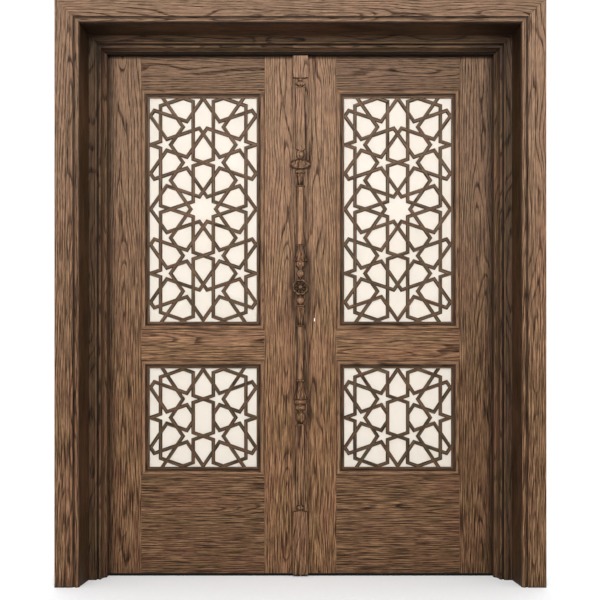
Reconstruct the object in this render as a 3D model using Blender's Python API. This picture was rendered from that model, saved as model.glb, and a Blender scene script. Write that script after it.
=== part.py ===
"""Double-leaf oak door in a portal frame, with girih lattices over frosted panes and a carved astragal.

X runs to the right, Y from the front casing to the back, Z up. The origin is under the middle of the object.
A profile point is (inset, depth): inset from the outer edge of the casing, depth from the casing's front face.
"""

import cmath
import math

import bmesh
import bpy

# Portal frame
FRAME_WIDTH = 1.970
FRAME_HEIGHT = 2.360
CASING_WIDTH = 0.099
CASING_THICKNESS = 0.024
CASING_GROOVE_INSET = 0.073
CASING_GROOVE_WIDTH = 0.006
CASING_GROOVE_DEPTH = 0.005
CASING_ARRIS = 0.002
CASING_REBATE = 0.002
LINING_THICKNESS = 0.030
REVEAL_DEPTH = 0.122
REVEAL_SPLAY = 0.012
STOP_WIDTH = 0.066
STOP_DEPTH = 0.072
STOP_FLAT = 0.024
STOP_BEAD = 0.008
STOP_QUIRK_DEPTH = 0.012
STOP_FILLET = 0.008
STOP_COVE_REACH = 0.043
STOP_NOSE = 0.005
STOP_LAP = 0.015

# Leaves
LEAF_THICKNESS = 0.045
STOP_GAP = 0.001
EDGE_GAP = 0.004
MEETING_GAP = 0.005
FLOOR_GAP = 0.011
HINGE_STILE_WIDTH = 0.153
MEETING_STILE_WIDTH = 0.148
BOTTOM_RAIL_HEIGHT = 0.4115
LOWER_OPENING_HEIGHT = 0.4835
LOCK_RAIL_HEIGHT = 0.129
TOP_RAIL_HEIGHT = 0.153
KEYHOLE_WIDTH = 0.0038
KEYHOLE_HEIGHT = 0.014
KEYHOLE_FROM_EDGE = 0.057
KEYHOLE_ABOVE_LOCK_RAIL = 0.042

# What fills each opening, from front to back
MOULDING_WIDTH = 0.026
MOULDING_PROUD = 0.004
MOULDING_BEAD = 0.018
MOULDING_LIP = 0.0015
LATTICE_BORDER = 0.034
LATTICE_SETBACK = 0.008
LATTICE_THICKNESS = 0.008
STRAP_WIDTH = 0.015
PATTERN_MARGIN = 0.003
PATTERN_RISE = 0.004
PANE_THICKNESS = 0.005
REAR_BEAD_WIDTH = 0.020
REAR_BEAD_CHAMFER = 0.008

# Astragal, on the left leaf
ASTRAGAL_WIDTH = 0.067
ASTRAGAL_BOARD_THICKNESS = 0.012
ASTRAGAL_TOP_GAP = 0.003
COLUMN_MARGIN = 0.001
COLUMN_RELIEF = 0.017
COLUMN_STRIP_WIDTH = 0.032
COLUMN_SHAFT_WIDTH = 0.025
COLUMN_CROWN_WIDTH = 0.094
COLUMN_CAPITAL_WIDTH = 0.062
COLUMN_VASE_WIDTH = 0.034
ROSETTE_DIAMETER = 0.068
ROSETTE_RELIEF = 0.022
ROSETTE_PETALS = 8
ROSETTE_SHARE = 0.554

# Hinges
HINGE_HEIGHT = 0.100
HINGE_PLATE_WIDTH = 0.034
HINGE_PLATE_THICKNESS = 0.0025
KNUCKLE_RADIUS = 0.007
KNUCKLE_GAP = 0.0005
HINGE_FROM_END = 0.220

GAP = 0.0003

SIDES = (("left", -1), ("right", 1))

# Places that follow from the sizes
LINING_INSET = CASING_WIDTH + REVEAL_SPLAY
STOP_INSET = LINING_INSET + GAP + STOP_WIDTH
LEAF_INSET = STOP_INSET - STOP_LAP
LEAF_FRONT = REVEAL_DEPTH + STOP_DEPTH + STOP_GAP
LEAF_BACK = LEAF_FRONT + LEAF_THICKNESS
LEAF_OUTER_X = FRAME_WIDTH / 2 - LEAF_INSET
LEAF_TOP = FRAME_HEIGHT - LEAF_INSET
AXIS_X = LEAF_OUTER_X + EDGE_GAP / 2
AXIS_DEPTH = LEAF_BACK + GAP + KNUCKLE_RADIUS
TOTAL_DEPTH = AXIS_DEPTH + KNUCKLE_RADIUS
HOLE_LEFT = MEETING_GAP / 2 + MEETING_STILE_WIDTH
HOLE_RIGHT = LEAF_OUTER_X - HINGE_STILE_WIDTH
HOLE_CENTRE_X = (HOLE_LEFT + HOLE_RIGHT) / 2
HOLE_HALF_WIDTH = (HOLE_RIGHT - HOLE_LEFT) / 2
LOWER_HOLE = (FLOOR_GAP + BOTTOM_RAIL_HEIGHT, FLOOR_GAP + BOTTOM_RAIL_HEIGHT + LOWER_OPENING_HEIGHT)
UPPER_HOLE = (LOWER_HOLE[1] + LOCK_RAIL_HEIGHT, LEAF_TOP - TOP_RAIL_HEIGHT)

# The girih pattern, in units in which a line passes one unit from the middle of its rosette
GOLDEN = (1 + math.sqrt(5)) / 2
CONTACT_RADIUS = 2 * GOLDEN
NOTCH_RADIUS = 2 / GOLDEN
STAR_TIP_RADIUS = 1 + 1 / math.sqrt(5)
STAR_INNER_RADIUS = 1 - 1 / math.sqrt(5)
PATTERN_HALF_WIDTH = 2 * GOLDEN**2
STAR_ROW = STAR_TIP_RADIUS / math.tan(math.radians(18))
STAR_STEP = 2 * STAR_TIP_RADIUS
BAR_END = math.tan(math.radians(18))


def y_of(depth):
    """World Y of a depth behind the casing's face, with the whole depth centred on the origin."""
    return depth - TOTAL_DEPTH / 2


def clear_scene():
    for obj in list(bpy.data.objects):
        bpy.data.objects.remove(obj, do_unlink=True)


def make_material(name, colour, roughness, metallic=0.0):
    material = bpy.data.materials.new(name)
    material.use_nodes = True
    shader = material.node_tree.nodes["Principled BSDF"]
    shader.inputs["Base Color"].default_value = (*colour, 1)
    shader.inputs["Roughness"].default_value = roughness
    shader.inputs["Metallic"].default_value = metallic
    material.diffuse_color = (*colour, 1)
    return material


def make_empty(name, location):
    empty = bpy.data.objects.new(name, None)
    empty.location = location
    bpy.context.collection.objects.link(empty)
    return empty


def add_object(name, mesh, material, parent, location=(0, 0, 0)):
    """Links the mesh as an object whose place is given in the world, whatever its parent."""
    obj = bpy.data.objects.new(name, mesh)
    mesh.materials.append(material)
    bpy.context.collection.objects.link(obj)
    obj.parent = parent
    obj.location = [a - b for a, b in zip(location, parent.location)]
    return obj


def finish_mesh(name, bm):
    bmesh.ops.recalc_face_normals(bm, faces=bm.faces)
    mesh = bpy.data.meshes.new(name)
    bm.to_mesh(mesh)
    bm.free()
    return mesh


def box_mesh(name, size):
    bm = bmesh.new()
    bmesh.ops.create_cube(bm, size=1)
    bmesh.ops.scale(bm, vec=size, verts=bm.verts)
    return finish_mesh(name, bm)


def prism(bm, first, last):
    """Closes the band between two outlines that have the same number of points."""
    rings = [[bm.verts.new(point) for point in ring] for ring in (first, last)]
    for i in range(len(first)):
        j = (i + 1) % len(first)
        bm.faces.new((rings[0][i], rings[0][j], rings[1][j], rings[1][i]))
    bm.faces.new(rings[0])
    bm.faces.new(rings[1])


def arc(centre, radius, start_deg, end_deg, steps):
    """Points on an arc, from one angle to the other, both ends included."""
    turn = (end_deg - start_deg) / steps
    angles = [math.radians(start_deg + turn * i) for i in range(steps + 1)]
    return [(centre[0] + radius * math.cos(a), centre[1] - radius * math.sin(a)) for a in angles]


def casing_profile():
    """The front trim, rebated behind so that it laps the lining and its outer part meets the wall."""
    lap = LINING_INSET - LINING_THICKNESS - GAP
    bead_start = CASING_GROOVE_INSET + CASING_GROOVE_WIDTH
    bead_radius = (CASING_WIDTH - bead_start) / 2
    bead = arc((bead_start + bead_radius, bead_radius), bead_radius, 150, 0, 3)
    return [
        (0, CASING_THICKNESS),
        (0, CASING_ARRIS),
        (CASING_ARRIS, 0),
        (CASING_GROOVE_INSET, 0),
        (CASING_GROOVE_INSET + CASING_GROOVE_WIDTH / 3, CASING_GROOVE_DEPTH),
        (bead_start, CASING_GROOVE_DEPTH),
        *bead,
        (CASING_WIDTH, CASING_THICKNESS - CASING_REBATE),
        (lap, CASING_THICKNESS - CASING_REBATE),
        (lap, CASING_THICKNESS),
    ]


def lining_profile():
    """The splayed reveal, whose front edge is chamfered where it enters the casing's rebate."""
    front = CASING_THICKNESS - CASING_REBATE + GAP
    outer = LINING_INSET - LINING_THICKNESS
    return [
        (outer, LEAF_BACK),
        (outer, CASING_THICKNESS + GAP),
        (outer + CASING_REBATE, front),
        (CASING_WIDTH, front),
        (LINING_INSET, REVEAL_DEPTH),
        (LINING_INSET, LEAF_BACK),
    ]


def jamb_profile():
    """The rebated post, whose front steps down to the leaf in a flat, a bead, a quirk, a fillet and a cove."""
    outer = LINING_INSET + GAP
    bead_start = outer + STOP_FLAT
    bead_radius = STOP_BEAD / 2
    bead = arc((bead_start + bead_radius, REVEAL_DEPTH + bead_radius), bead_radius, 150, 0, 3)
    quirk_start = bead_start + STOP_BEAD
    quirk_depth = REVEAL_DEPTH + STOP_QUIRK_DEPTH
    fillet_start = quirk_start + STOP_FILLET
    fillet_depth = quirk_depth - STOP_FILLET / 2
    nose_start = STOP_INSET - STOP_NOSE
    cove_width = nose_start - fillet_start - STOP_FILLET
    cove_depth = REVEAL_DEPTH + STOP_COVE_REACH - fillet_depth
    cove_steps = 3
    cove = []
    for i in range(cove_steps + 1):
        angle = math.pi / 2 * i / cove_steps
        inset = fillet_start + STOP_FILLET + cove_width * (1 - math.cos(angle))
        cove.append((inset, fillet_depth + cove_depth * math.sin(angle)))
    stop_back = LEAF_FRONT - STOP_GAP
    rebate_inset = LEAF_INSET - EDGE_GAP
    return [
        (outer, LEAF_BACK),
        (outer, REVEAL_DEPTH),
        (bead_start, REVEAL_DEPTH),
        *bead,
        (quirk_start, quirk_depth),
        (fillet_start, quirk_depth),
        (fillet_start, fillet_depth),
        *cove,
        (STOP_INSET, cove[-1][1] + STOP_NOSE),
        (STOP_INSET, stop_back),
        (rebate_inset, stop_back),
        (rebate_inset, LEAF_BACK),
    ]


def frame_leg(name, profile, side):
    """An upright of the portal, square at the floor and mitred under the head."""
    bm = bmesh.new()
    feet = [(side * (FRAME_WIDTH / 2 - u), y_of(d), 0) for u, d in profile]
    tops = [(x, y, FRAME_HEIGHT - u - math.sqrt(2) * GAP) for (x, y, _), (u, _) in zip(feet, profile)]
    prism(bm, feet, tops)
    return finish_mesh(name, bm)


def frame_head(name, profile):
    bm = bmesh.new()
    ends = []
    for side in (-1, 1):
        ends.append([(side * (FRAME_WIDTH / 2 - u), y_of(d), FRAME_HEIGHT - u) for u, d in profile])
    prism(bm, *ends)
    return finish_mesh(name, bm)


def build_frame(root, oak):
    profiles = {"casing": casing_profile(), "lining": lining_profile(), "jamb": jamb_profile()}
    for part, profile in profiles.items():
        for word, side in SIDES:
            name = f"{part}_{word}"
            add_object(name, frame_leg(name, profile, side), oak, root)
        add_object(f"{part}_head", frame_head(f"{part}_head", profile), oak, root)


def rosette_lines(centre):
    """A ten-fold rosette: from each contact point, two lines that stop at the notches of its inner star."""
    lines = []
    for k in range(10):
        contact = centre + cmath.rect(CONTACT_RADIUS, math.radians(36 * k))
        for turn in (-36, 36):
            lines.append((contact, centre + cmath.rect(NOTCH_RADIUS, math.radians(36 * k + turn))))
    return lines


def star_points(centre, first_tip_deg):
    """The ten corners of a five-pointed star, tip and inner corner in turn."""
    points = []
    for k in range(5):
        tip = first_tip_deg + 72 * k
        points.append(centre + cmath.rect(STAR_TIP_RADIUS, math.radians(tip)))
        points.append(centre + cmath.rect(STAR_INNER_RADIUS, math.radians(tip + 36)))
    return points


def outline(points, closed=True):
    ends = points[1:] + points[:1] if closed else points[1:]
    return list(zip(points, ends))


def cap_lines(half_height):
    """What joins the inner star to the top edge: a bar, its slanted end and the line to the middle of the edge."""
    star_tip = complex(-1, half_height - math.tan(math.radians(54)))
    bar_top = complex(-1, half_height - BAR_END)
    return [(star_tip, bar_top), (star_tip, complex(0, half_height)), (bar_top, complex(-2, half_height))]


def tall_quarter():
    """Lines of the tall pattern between its centre and its upper left corner, and the pattern's half height."""
    half_height = 2 * STAR_ROW + cmath.rect(STAR_STEP, math.radians(36)).imag
    near_star = complex(-STAR_TIP_RADIUS, STAR_ROW)
    edge_star = near_star + cmath.rect(STAR_STEP, math.radians(144))
    cut_star = edge_star + cmath.rect(STAR_STEP, math.radians(36))
    corners = star_points(cut_star, 0)
    bar_foot = star_points(near_star, 0)[2]
    crossing = corners[0] - cmath.rect(1, math.radians(18)) / GOLDEN**2 / math.cos(math.radians(18))
    mirrored_crossing = -crossing.conjugate()
    cut = cap_lines(half_height)
    cut += [(bar_foot, corners[2]), (corners[6], crossing)]
    cut += [(bar_foot, mirrored_crossing), (-bar_foot.conjugate(), crossing)]
    cut += outline(corners[2:7], closed=False)
    turn_point = complex(-PATTERN_HALF_WIDTH, half_height)
    turned = [(turn_point - a, turn_point - b) for a, b in cut]
    stars = outline(star_points(near_star, 0)) + outline(star_points(edge_star, 36))
    return cut + turned + stars, half_height


def square_quarter():
    """The same for the low pattern, whose upper corner is one star row above its centre."""
    half_height = STAR_ROW
    edge_star = complex(STAR_TIP_RADIUS - PATTERN_HALF_WIDTH, 0)
    inner_star = edge_star + cmath.rect(STAR_STEP, math.radians(36))
    bar = [(complex(-1, BAR_END), complex(-1, 0))]
    stars = outline(star_points(edge_star, 36)) + outline(star_points(inner_star, 0))
    return cap_lines(half_height) + bar + stars, half_height


def pattern_lines(tall):
    """All lines of a lattice, its edge among them, and the pattern's half height."""
    quarter, half_height = tall_quarter() if tall else square_quarter()
    corner = complex(PATTERN_HALF_WIDTH, half_height)
    lines = []
    for a, b in quarter:
        for flip_x in (1, -1):
            for flip_y in (1, -1):
                lines.append(tuple(complex(flip_x * p.real, flip_y * p.imag) for p in (a, b)))
    if tall:
        lines += rosette_lines(0)
    edge = [corner, -corner.conjugate(), -corner, corner.conjugate()]
    for point in edge:
        lines += rosette_lines(point)
    return lines + outline(edge), half_height


def cross(a, b):
    return (a.conjugate() * b).imag


def snap(point):
    return complex(round(point.real, 5), round(point.imag, 5))


def split_lines(lines, half_height):
    """Cuts every line where another meets it, and keeps what lies inside the pattern's edge."""
    kept = set()
    for a, b in lines:
        along = b - a
        cuts = {0.0, 1.0}
        for p, q in lines:
            other = q - p
            turn = cross(along, other)
            if abs(turn) < 1e-7:
                continue
            place = cross(p - a, other) / turn
            on_other = cross(p - a, along) / turn
            if -1e-6 < place < 1 + 1e-6 and -1e-6 < on_other < 1 + 1e-6:
                cuts.add(place)
        stops = sorted(cuts)
        for low, high in zip(stops, stops[1:]):
            middle = a + along * (low + high) / 2
            if abs(middle.real) > PATTERN_HALF_WIDTH + 1e-6 or abs(middle.imag) > half_height + 1e-6:
                continue
            ends = sorted((snap(a + along * low), snap(a + along * high)), key=lambda p: (p.real, p.imag))
            if ends[0] != ends[1]:
                kept.add(tuple(ends))
    return kept


def cells_of(edges):
    """The cells that the edges enclose, each a list of corners anticlockwise."""
    around = {}
    for a, b in edges:
        around.setdefault(a, []).append(b)
        around.setdefault(b, []).append(a)
    for point, others in around.items():
        others.sort(key=lambda other: cmath.phase(other - point))
    cells = []
    used = set()
    for start in sorted(around, key=lambda p: (p.real, p.imag)):
        for other in around[start]:
            if (start, other) in used:
                continue
            cell = []
            a, b = start, other
            while (a, b) not in used:
                used.add((a, b))
                cell.append(a)
                ring = around[b]
                a, b = b, ring[ring.index(a) - 1]
            area = sum(cross(p, q) for p, q in zip(cell, cell[1:] + cell[:1]))
            if area > 0:
                cells.append(cell)
    return cells


def straightened(cell):
    """The cell without the corners at which its side runs straight on."""
    kept = []
    for before, point, after in zip(cell[-1:] + cell[:-1], cell, cell[1:] + cell[:1]):
        turn = cmath.phase((after - point) / (point - before))
        if abs(turn) > math.radians(1):
            kept.append(point)
    return kept


def inset_cell(cell, insets):
    """Moves each side of the cell inwards by its inset, or returns None where the cell closes up."""
    count = len(cell)
    ways = [cell[(i + 1) % count] - cell[i] for i in range(count)]
    ways = [way / abs(way) for way in ways]
    moved = []
    for i in range(count):
        before, after = ways[i - 1], ways[i]
        slide = (insets[i] - insets[i - 1] * (before.conjugate() * after).real) / cross(before, after)
        moved.append(cell[i] + 1j * before * insets[i - 1] - before * slide)
    for i in range(count):
        if ((moved[(i + 1) % count] - moved[i]) * ways[i].conjugate()).real <= 0:
            return None
    return moved


def lattice_holes(window_x, window_z, tall):
    """The windows between the straps, each a list of corners round the lattice's centre.

    The tall pattern sits a little above the middle of its window.
    """
    lines, half_height = pattern_lines(tall)
    unit_x = (window_x - PATTERN_MARGIN) / PATTERN_HALF_WIDTH
    unit_z = (window_z - PATTERN_MARGIN) / half_height
    rise = PATTERN_RISE if tall else 0
    margins = {"right": PATTERN_MARGIN, "left": PATTERN_MARGIN}
    margins.update(top=PATTERN_MARGIN - rise, foot=PATTERN_MARGIN + rise)

    def edges_at(point):
        """Which of the pattern's four edges the point lies on."""
        right, top = point.real / PATTERN_HALF_WIDTH, point.imag / half_height
        places = {"right": right, "left": -right, "top": top, "foot": -top}
        return {edge for edge, place in places.items() if place > 1 - 1e-5}

    holes = []
    for cell in cells_of(split_lines(lines, half_height)):
        cell = straightened(cell)
        insets = []
        for a, b in outline(cell):
            shared = edges_at(a) & edges_at(b)
            insets.append(-margins[shared.pop()] if shared else STRAP_WIDTH / 2)
        hole = inset_cell([complex(p.real * unit_x, p.imag * unit_z + rise) for p in cell], insets)
        if hole:
            holes.append(hole)
    return holes


def lattice_mesh(name, half_width, half_height, tall):
    """A wooden lattice: straps along the pattern's lines, in a border that fills the rest of the opening."""
    outer = complex(half_width - GAP, half_height - GAP)
    loops = [[outer, -outer.conjugate(), -outer, outer.conjugate()]]
    loops += lattice_holes(half_width - LATTICE_BORDER, half_height - LATTICE_BORDER, tall)
    bm = bmesh.new()
    edges = []
    for loop in loops:
        verts = [bm.verts.new((p.real, 0, p.imag)) for p in loop]
        edges += [bm.edges.new(pair) for pair in zip(verts, verts[1:] + verts[:1])]
    bmesh.ops.triangle_fill(bm, use_beauty=True, edges=edges, normal=(0, -1, 0))
    made = bmesh.ops.extrude_face_region(bm, geom=bm.faces[:])["geom"]
    back = [item for item in made if isinstance(item, bmesh.types.BMVert)]
    bmesh.ops.translate(bm, vec=(0, LATTICE_THICKNESS, 0), verts=back)
    return finish_mesh(name, bm)


def ring_mesh(name, half_width, half_height, profile):
    """A mitred rectangular ring. Its profile is (inset from the ring's outer edge, depth), a closed outline."""
    bm = bmesh.new()
    rings = []
    for sx, sz in ((-1, -1), (1, -1), (1, 1), (-1, 1)):
        rings.append([bm.verts.new((sx * (half_width - u), d, sz * (half_height - u))) for u, d in profile])
    for k in range(4):
        near, far = rings[k], rings[(k + 1) % 4]
        for i in range(len(profile)):
            j = (i + 1) % len(profile)
            bm.faces.new((near[i], near[j], far[j], far[i]))
    return finish_mesh(name, bm)


def moulding_profile():
    """The planted bead: a round proud of the leaf, then a quirk down to a thin lip over the lattice's border."""
    foot = LATTICE_SETBACK - GAP
    bead_radius = MOULDING_BEAD / 2
    rise = MOULDING_PROUD + foot / 2
    bead = []
    bead_steps = 4
    for i in range(bead_steps + 1):
        angle = math.pi * (1 - i / bead_steps)
        bead.append((bead_radius * (1 + math.cos(angle)), foot / 2 - rise * math.sin(angle)))
    return [(0, foot), *bead, (MOULDING_WIDTH, foot - MOULDING_LIP), (MOULDING_WIDTH, foot)]


def rear_bead_profile(depth):
    return [
        (0, depth),
        (0, 0),
        (REAR_BEAD_WIDTH, 0),
        (REAR_BEAD_WIDTH, depth - REAR_BEAD_CHAMFER),
        (REAR_BEAD_WIDTH - REAR_BEAD_CHAMFER, depth),
    ]


def add_box(name, low, high, material, parent):
    """A box between two corners, each given as (x, depth, z)."""
    size = [b - a for a, b in zip(low, high)]
    middle = [(a + b) / 2 for a, b in zip(low, high)]
    location = (middle[0], y_of(middle[1]), middle[2])
    return add_object(name, box_mesh(name, size), material, parent, location)


def side_span(side, near, far):
    """Lowest and highest X of a stretch between two distances from the middle, on one side of it."""
    return sorted((side * near, side * far))


def build_leaf_wood(word, side, leaf, oak):
    """Stiles from top to bottom, with three rails between them."""
    stiles = {
        "hinge_stile": (HOLE_RIGHT, LEAF_OUTER_X),
        "meeting_stile": (MEETING_GAP / 2, HOLE_LEFT),
    }
    made = {}
    for part, (near, far) in stiles.items():
        low_x, high_x = side_span(side, near, far)
        name = f"{word}_{part}"
        made[part] = add_box(name, (low_x, LEAF_FRONT, FLOOR_GAP), (high_x, LEAF_BACK, LEAF_TOP), oak, leaf)
    rails = {
        "bottom_rail": (FLOOR_GAP, LOWER_HOLE[0]),
        "lock_rail": (LOWER_HOLE[1], UPPER_HOLE[0]),
        "top_rail": (UPPER_HOLE[1], LEAF_TOP),
    }
    low_x, high_x = side_span(side, HOLE_LEFT + GAP, HOLE_RIGHT - GAP)
    for part, (low_z, high_z) in rails.items():
        add_box(f"{word}_{part}", (low_x, LEAF_FRONT, low_z), (high_x, LEAF_BACK, high_z), oak, leaf)
    return made


def build_opening(word, side, level, hole, leaf, materials):
    """Moulding, lattice, pane and rear bead of one opening, each behind the one before."""
    half_height = (hole[1] - hole[0]) / 2
    x = side * HOLE_CENTRE_X
    z = (hole[0] + hole[1]) / 2
    lattice_depth = LEAF_FRONT + LATTICE_SETBACK
    pane_depth = lattice_depth + LATTICE_THICKNESS + GAP
    bead_depth = pane_depth + PANE_THICKNESS + GAP
    fit_x = HOLE_HALF_WIDTH - GAP
    fit_z = half_height - GAP
    name = f"{word}_{level}_moulding"
    mesh = ring_mesh(name, fit_x, fit_z, moulding_profile())
    add_object(name, mesh, materials["trim"], leaf, (x, y_of(LEAF_FRONT), z))
    name = f"{word}_{level}_lattice"
    mesh = lattice_mesh(name, HOLE_HALF_WIDTH, half_height, tall=level == "upper")
    add_object(name, mesh, materials["lattice"], leaf, (x, y_of(lattice_depth), z))
    low = (x - fit_x, pane_depth, z - fit_z)
    high = (x + fit_x, pane_depth + PANE_THICKNESS, z + fit_z)
    add_box(f"{word}_{level}_pane", low, high, materials["glass"], leaf)
    name = f"{word}_{level}_rear_bead"
    mesh = ring_mesh(name, fit_x, fit_z, rear_bead_profile(LEAF_BACK - bead_depth))
    add_object(name, mesh, materials["trim"], leaf, (x, y_of(bead_depth), z))


def cut_keyhole(stile):
    """A slot with round ends right through the right leaf's meeting stile."""
    radius = KEYHOLE_WIDTH / 2
    straight = KEYHOLE_HEIGHT / 2 - radius
    points = []
    for start, shift in ((0, straight), (180, -straight)):
        for x, z in arc((0, 0), radius, -start, -start - 180, 4):
            points.append((x, z + shift))
    bm = bmesh.new()
    reach = LEAF_THICKNESS
    prism(bm, [(x, -reach, z) for x, z in points], [(x, reach, z) for x, z in points])
    cutter = bpy.data.objects.new("keyhole_cutter", finish_mesh("keyhole_cutter", bm))
    x = MEETING_GAP / 2 + KEYHOLE_FROM_EDGE
    z = UPPER_HOLE[0] + KEYHOLE_ABOVE_LOCK_RAIL
    cutter.location = (x, y_of(LEAF_FRONT + LEAF_THICKNESS / 2), z)
    hide_helper(cutter)
    add_boolean(stile, cutter, "DIFFERENCE")


def hide_helper(obj):
    obj.display_type = "WIRE"
    obj.hide_render = True
    bpy.context.collection.objects.link(obj)


def add_boolean(obj, other, operation):
    modifier = obj.modifiers.new(other.name, "BOOLEAN")
    modifier.operation = operation
    modifier.solver = "EXACT"
    modifier.object = other


def build_hinge(word, side, number, z, root, leaf, steel):
    """A lift-off hinge on the back faces: the frame half carries the lower knuckle, the leaf half the upper."""
    r = KNUCKLE_RADIUS
    face = -r + HINGE_PLATE_THICKNESS
    clear = r + 2 * KNUCKLE_GAP
    plate = [(-clear, -r), (-HINGE_PLATE_WIDTH, -r), (-HINGE_PLATE_WIDTH, face), (-clear, face)]
    eye = [(-HINGE_PLATE_THICKNESS * math.sqrt(3), face)]
    eye += [(r * math.cos(math.radians(a)), r * math.sin(math.radians(a))) for a in range(150, -91, -60)]
    for half, flip in (("frame", 1), ("leaf", -1)):
        bm = bmesh.new()
        levels = (-HINGE_HEIGHT / 2, -KNUCKLE_GAP / 2, HINGE_HEIGHT / 2)
        layers = []
        for level, points in zip(levels, (plate + eye, plate + eye, plate)):
            # The leaf half is the frame half turned upside down, and the right hinge mirrors the left.
            layers.append([bm.verts.new((-side * flip * x, y, flip * level)) for x, y in points])
        bottom, middle, top = layers
        for i in range(len(bottom)):
            j = (i + 1) % len(bottom)
            bm.faces.new((bottom[i], bottom[j], middle[j], middle[i]))
        for i in range(4):
            j = (i + 1) % 4
            bm.faces.new((middle[i], middle[j], top[j], top[i]))
        bm.faces.new(bottom)
        bm.faces.new([middle[0], *middle[3:]])
        bm.faces.new(top)
        name = f"{word}_hinge_{number}_{half}"
        parent = root if half == "frame" else leaf
        add_object(name, finish_mesh(name, bm), steel, parent, (side * AXIS_X, y_of(AXIS_DEPTH), z))


def section(kind, half_width, relief):
    """Five points across the column, from one edge over the front to the other."""
    shoulder, middle = {
        "block": ((0.95, 1), 1),
        "strip": ((0.75, 1), 0.55),
        "fluted": ((0.62, 0.92), 0.74),
        "round": ((math.sqrt(0.5), math.sqrt(0.5)), 1),
    }[kind]
    right = [(1, 0), shoulder]
    left = [(-x, y) for x, y in reversed(right)]
    return [(half_width * x, -relief * y) for x, y in [*right, (0, middle), *left]]


def swell(kind, top, bottom, end_width, middle_width, relief, steps=3):
    """Stations of a bead, vase or bulb: narrow ends and a round middle."""
    stations = []
    for i in range(steps + 1):
        bulge = math.sin(math.pi * i / steps)
        width = end_width + (middle_width - end_width) * bulge
        stations.append((kind, top + (bottom - top) * i / steps, width, relief * (0.45 + 0.55 * bulge)))
    return stations


def flare(kind, top, bottom, top_width, bottom_width, relief, steps=2):
    """Stations of a bell whose side curves in a quarter wave between its two widths."""
    wide, narrow = max(top_width, bottom_width), min(top_width, bottom_width)
    stations = []
    for i in range(steps + 1):
        share = i / steps
        curve = 1 - math.cos(math.pi / 2 * (1 - share if top_width > bottom_width else share))
        width = narrow + (wide - narrow) * curve
        stations.append((kind, top + (bottom - top) * share, width, relief * (0.6 + 0.4 * curve)))
    return stations


def bar(kind, top, bottom, width, relief):
    """Stations of a straight stretch."""
    return [(kind, top, width, relief), (kind, bottom, width, relief)]


def column_stations(top, bottom):
    """The column from its top block to its plinth, as (section, height, half width, relief).

    The carving keeps its proportions: each height is a share of the whole column.
    """
    length = top - bottom

    def at(share):
        return bottom + length * share

    block = ASTRAGAL_WIDTH / 2 - COLUMN_MARGIN
    strip = COLUMN_STRIP_WIDTH / 2
    shaft = COLUMN_SHAFT_WIDTH / 2
    crown = COLUMN_CROWN_WIDTH / 2
    capital = COLUMN_CAPITAL_WIDTH / 2
    vase = COLUMN_VASE_WIDTH / 2
    deep = COLUMN_RELIEF
    return [
        *bar("block", at(1), at(0.9585), block, deep * 0.8),
        *swell("round", at(0.957), at(0.941), shaft * 0.5, strip, deep * 0.8, 2),
        *bar("strip", at(0.938), at(0.821), strip, deep * 0.5),
        *swell("round", at(0.818), at(0.802), shaft * 0.7, vase, deep * 0.8),
        *swell("fluted", at(0.8015), at(0.7815), vase * 0.7, crown, deep, 4),
        *swell("round", at(0.781), at(0.773), shaft, strip, deep, 2),
        *flare("round", at(0.772), at(0.752), vase, shaft * 0.8, deep),
        *bar("block", at(0.748), at(0.738), shaft, deep * 0.8),
        *bar("round", at(0.737), at(0.637), shaft, deep * 0.75),
        *flare("fluted", at(0.633), at(0.605), shaft, capital, deep, 3),
        *swell("round", at(0.604), at(0.594), strip, vase, deep * 0.8, 2),
        *swell("round", at(0.588), at(0.573), shaft * 0.4, shaft, deep * 0.7, 2),
        *swell("round", at(0.536), at(0.521), shaft * 0.5, vase, deep, 2),
        *bar("block", at(0.520), at(0.517), vase, deep * 0.8),
        *flare("fluted", at(0.513), at(0.482), vase * 1.1, shaft * 0.8, deep, 3),
        *bar("round", at(0.477), at(0.376), shaft, deep * 0.75),
        *flare("fluted", at(0.370), at(0.338), shaft, capital, deep, 3),
        *swell("round", at(0.337), at(0.328), strip * 1.2, capital * 0.9, deep * 0.9, 2),
        *swell("round", at(0.326), at(0.317), strip, capital * 0.7, deep * 0.8, 2),
        *swell("round", at(0.315), at(0.290), shaft * 0.6, vase * 1.1, deep),
        *bar("strip", at(0.287), at(0.134), strip, deep * 0.5),
        *swell("round", at(0.133), at(0.123), shaft * 0.5, strip, deep * 0.8, 2),
        *bar("block", at(0.1205), at(0), block, deep * 0.8),
    ]


def rosette_mesh(name):
    """A round flower: a domed boss in a ring of petals that rise towards their middles."""
    radius = ROSETTE_DIAMETER / 2
    per_petal = 3
    count = ROSETTE_PETALS * per_petal
    # Rings as (share of the radius, share of the relief, how much the gap between petals sinks it)
    rings = ((0.2, 1, 0), (0.34, 0.5, 0.1), (0.72, 0.80, 0.3), (1.0, 0.35, 0.2))
    bm = bmesh.new()
    layers = []
    for share, rise, sink in rings:
        layer = []
        for i in range(count):
            angle = 2 * math.pi * (i + 0.5) / count
            between = i % per_petal != per_petal // 2
            reach = radius * share * (1 - 0.3 * sink * between)
            height = ROSETTE_RELIEF * (rise - sink * between)
            layer.append(bm.verts.new((reach * math.cos(angle), -height, reach * math.sin(angle))))
        layers.append(layer)
    outer = [(vert.co.x, vert.co.z) for vert in layers[-1]]
    layers.append([bm.verts.new((x, 0, z)) for x, z in outer])
    for inner, outer_ring in zip(layers, layers[1:]):
        for i in range(count):
            j = (i + 1) % count
            bm.faces.new((inner[i], inner[j], outer_ring[j], outer_ring[i]))
    bm.faces.new(layers[0])
    bm.faces.new(layers[-1])
    return finish_mesh(name, bm)


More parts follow.
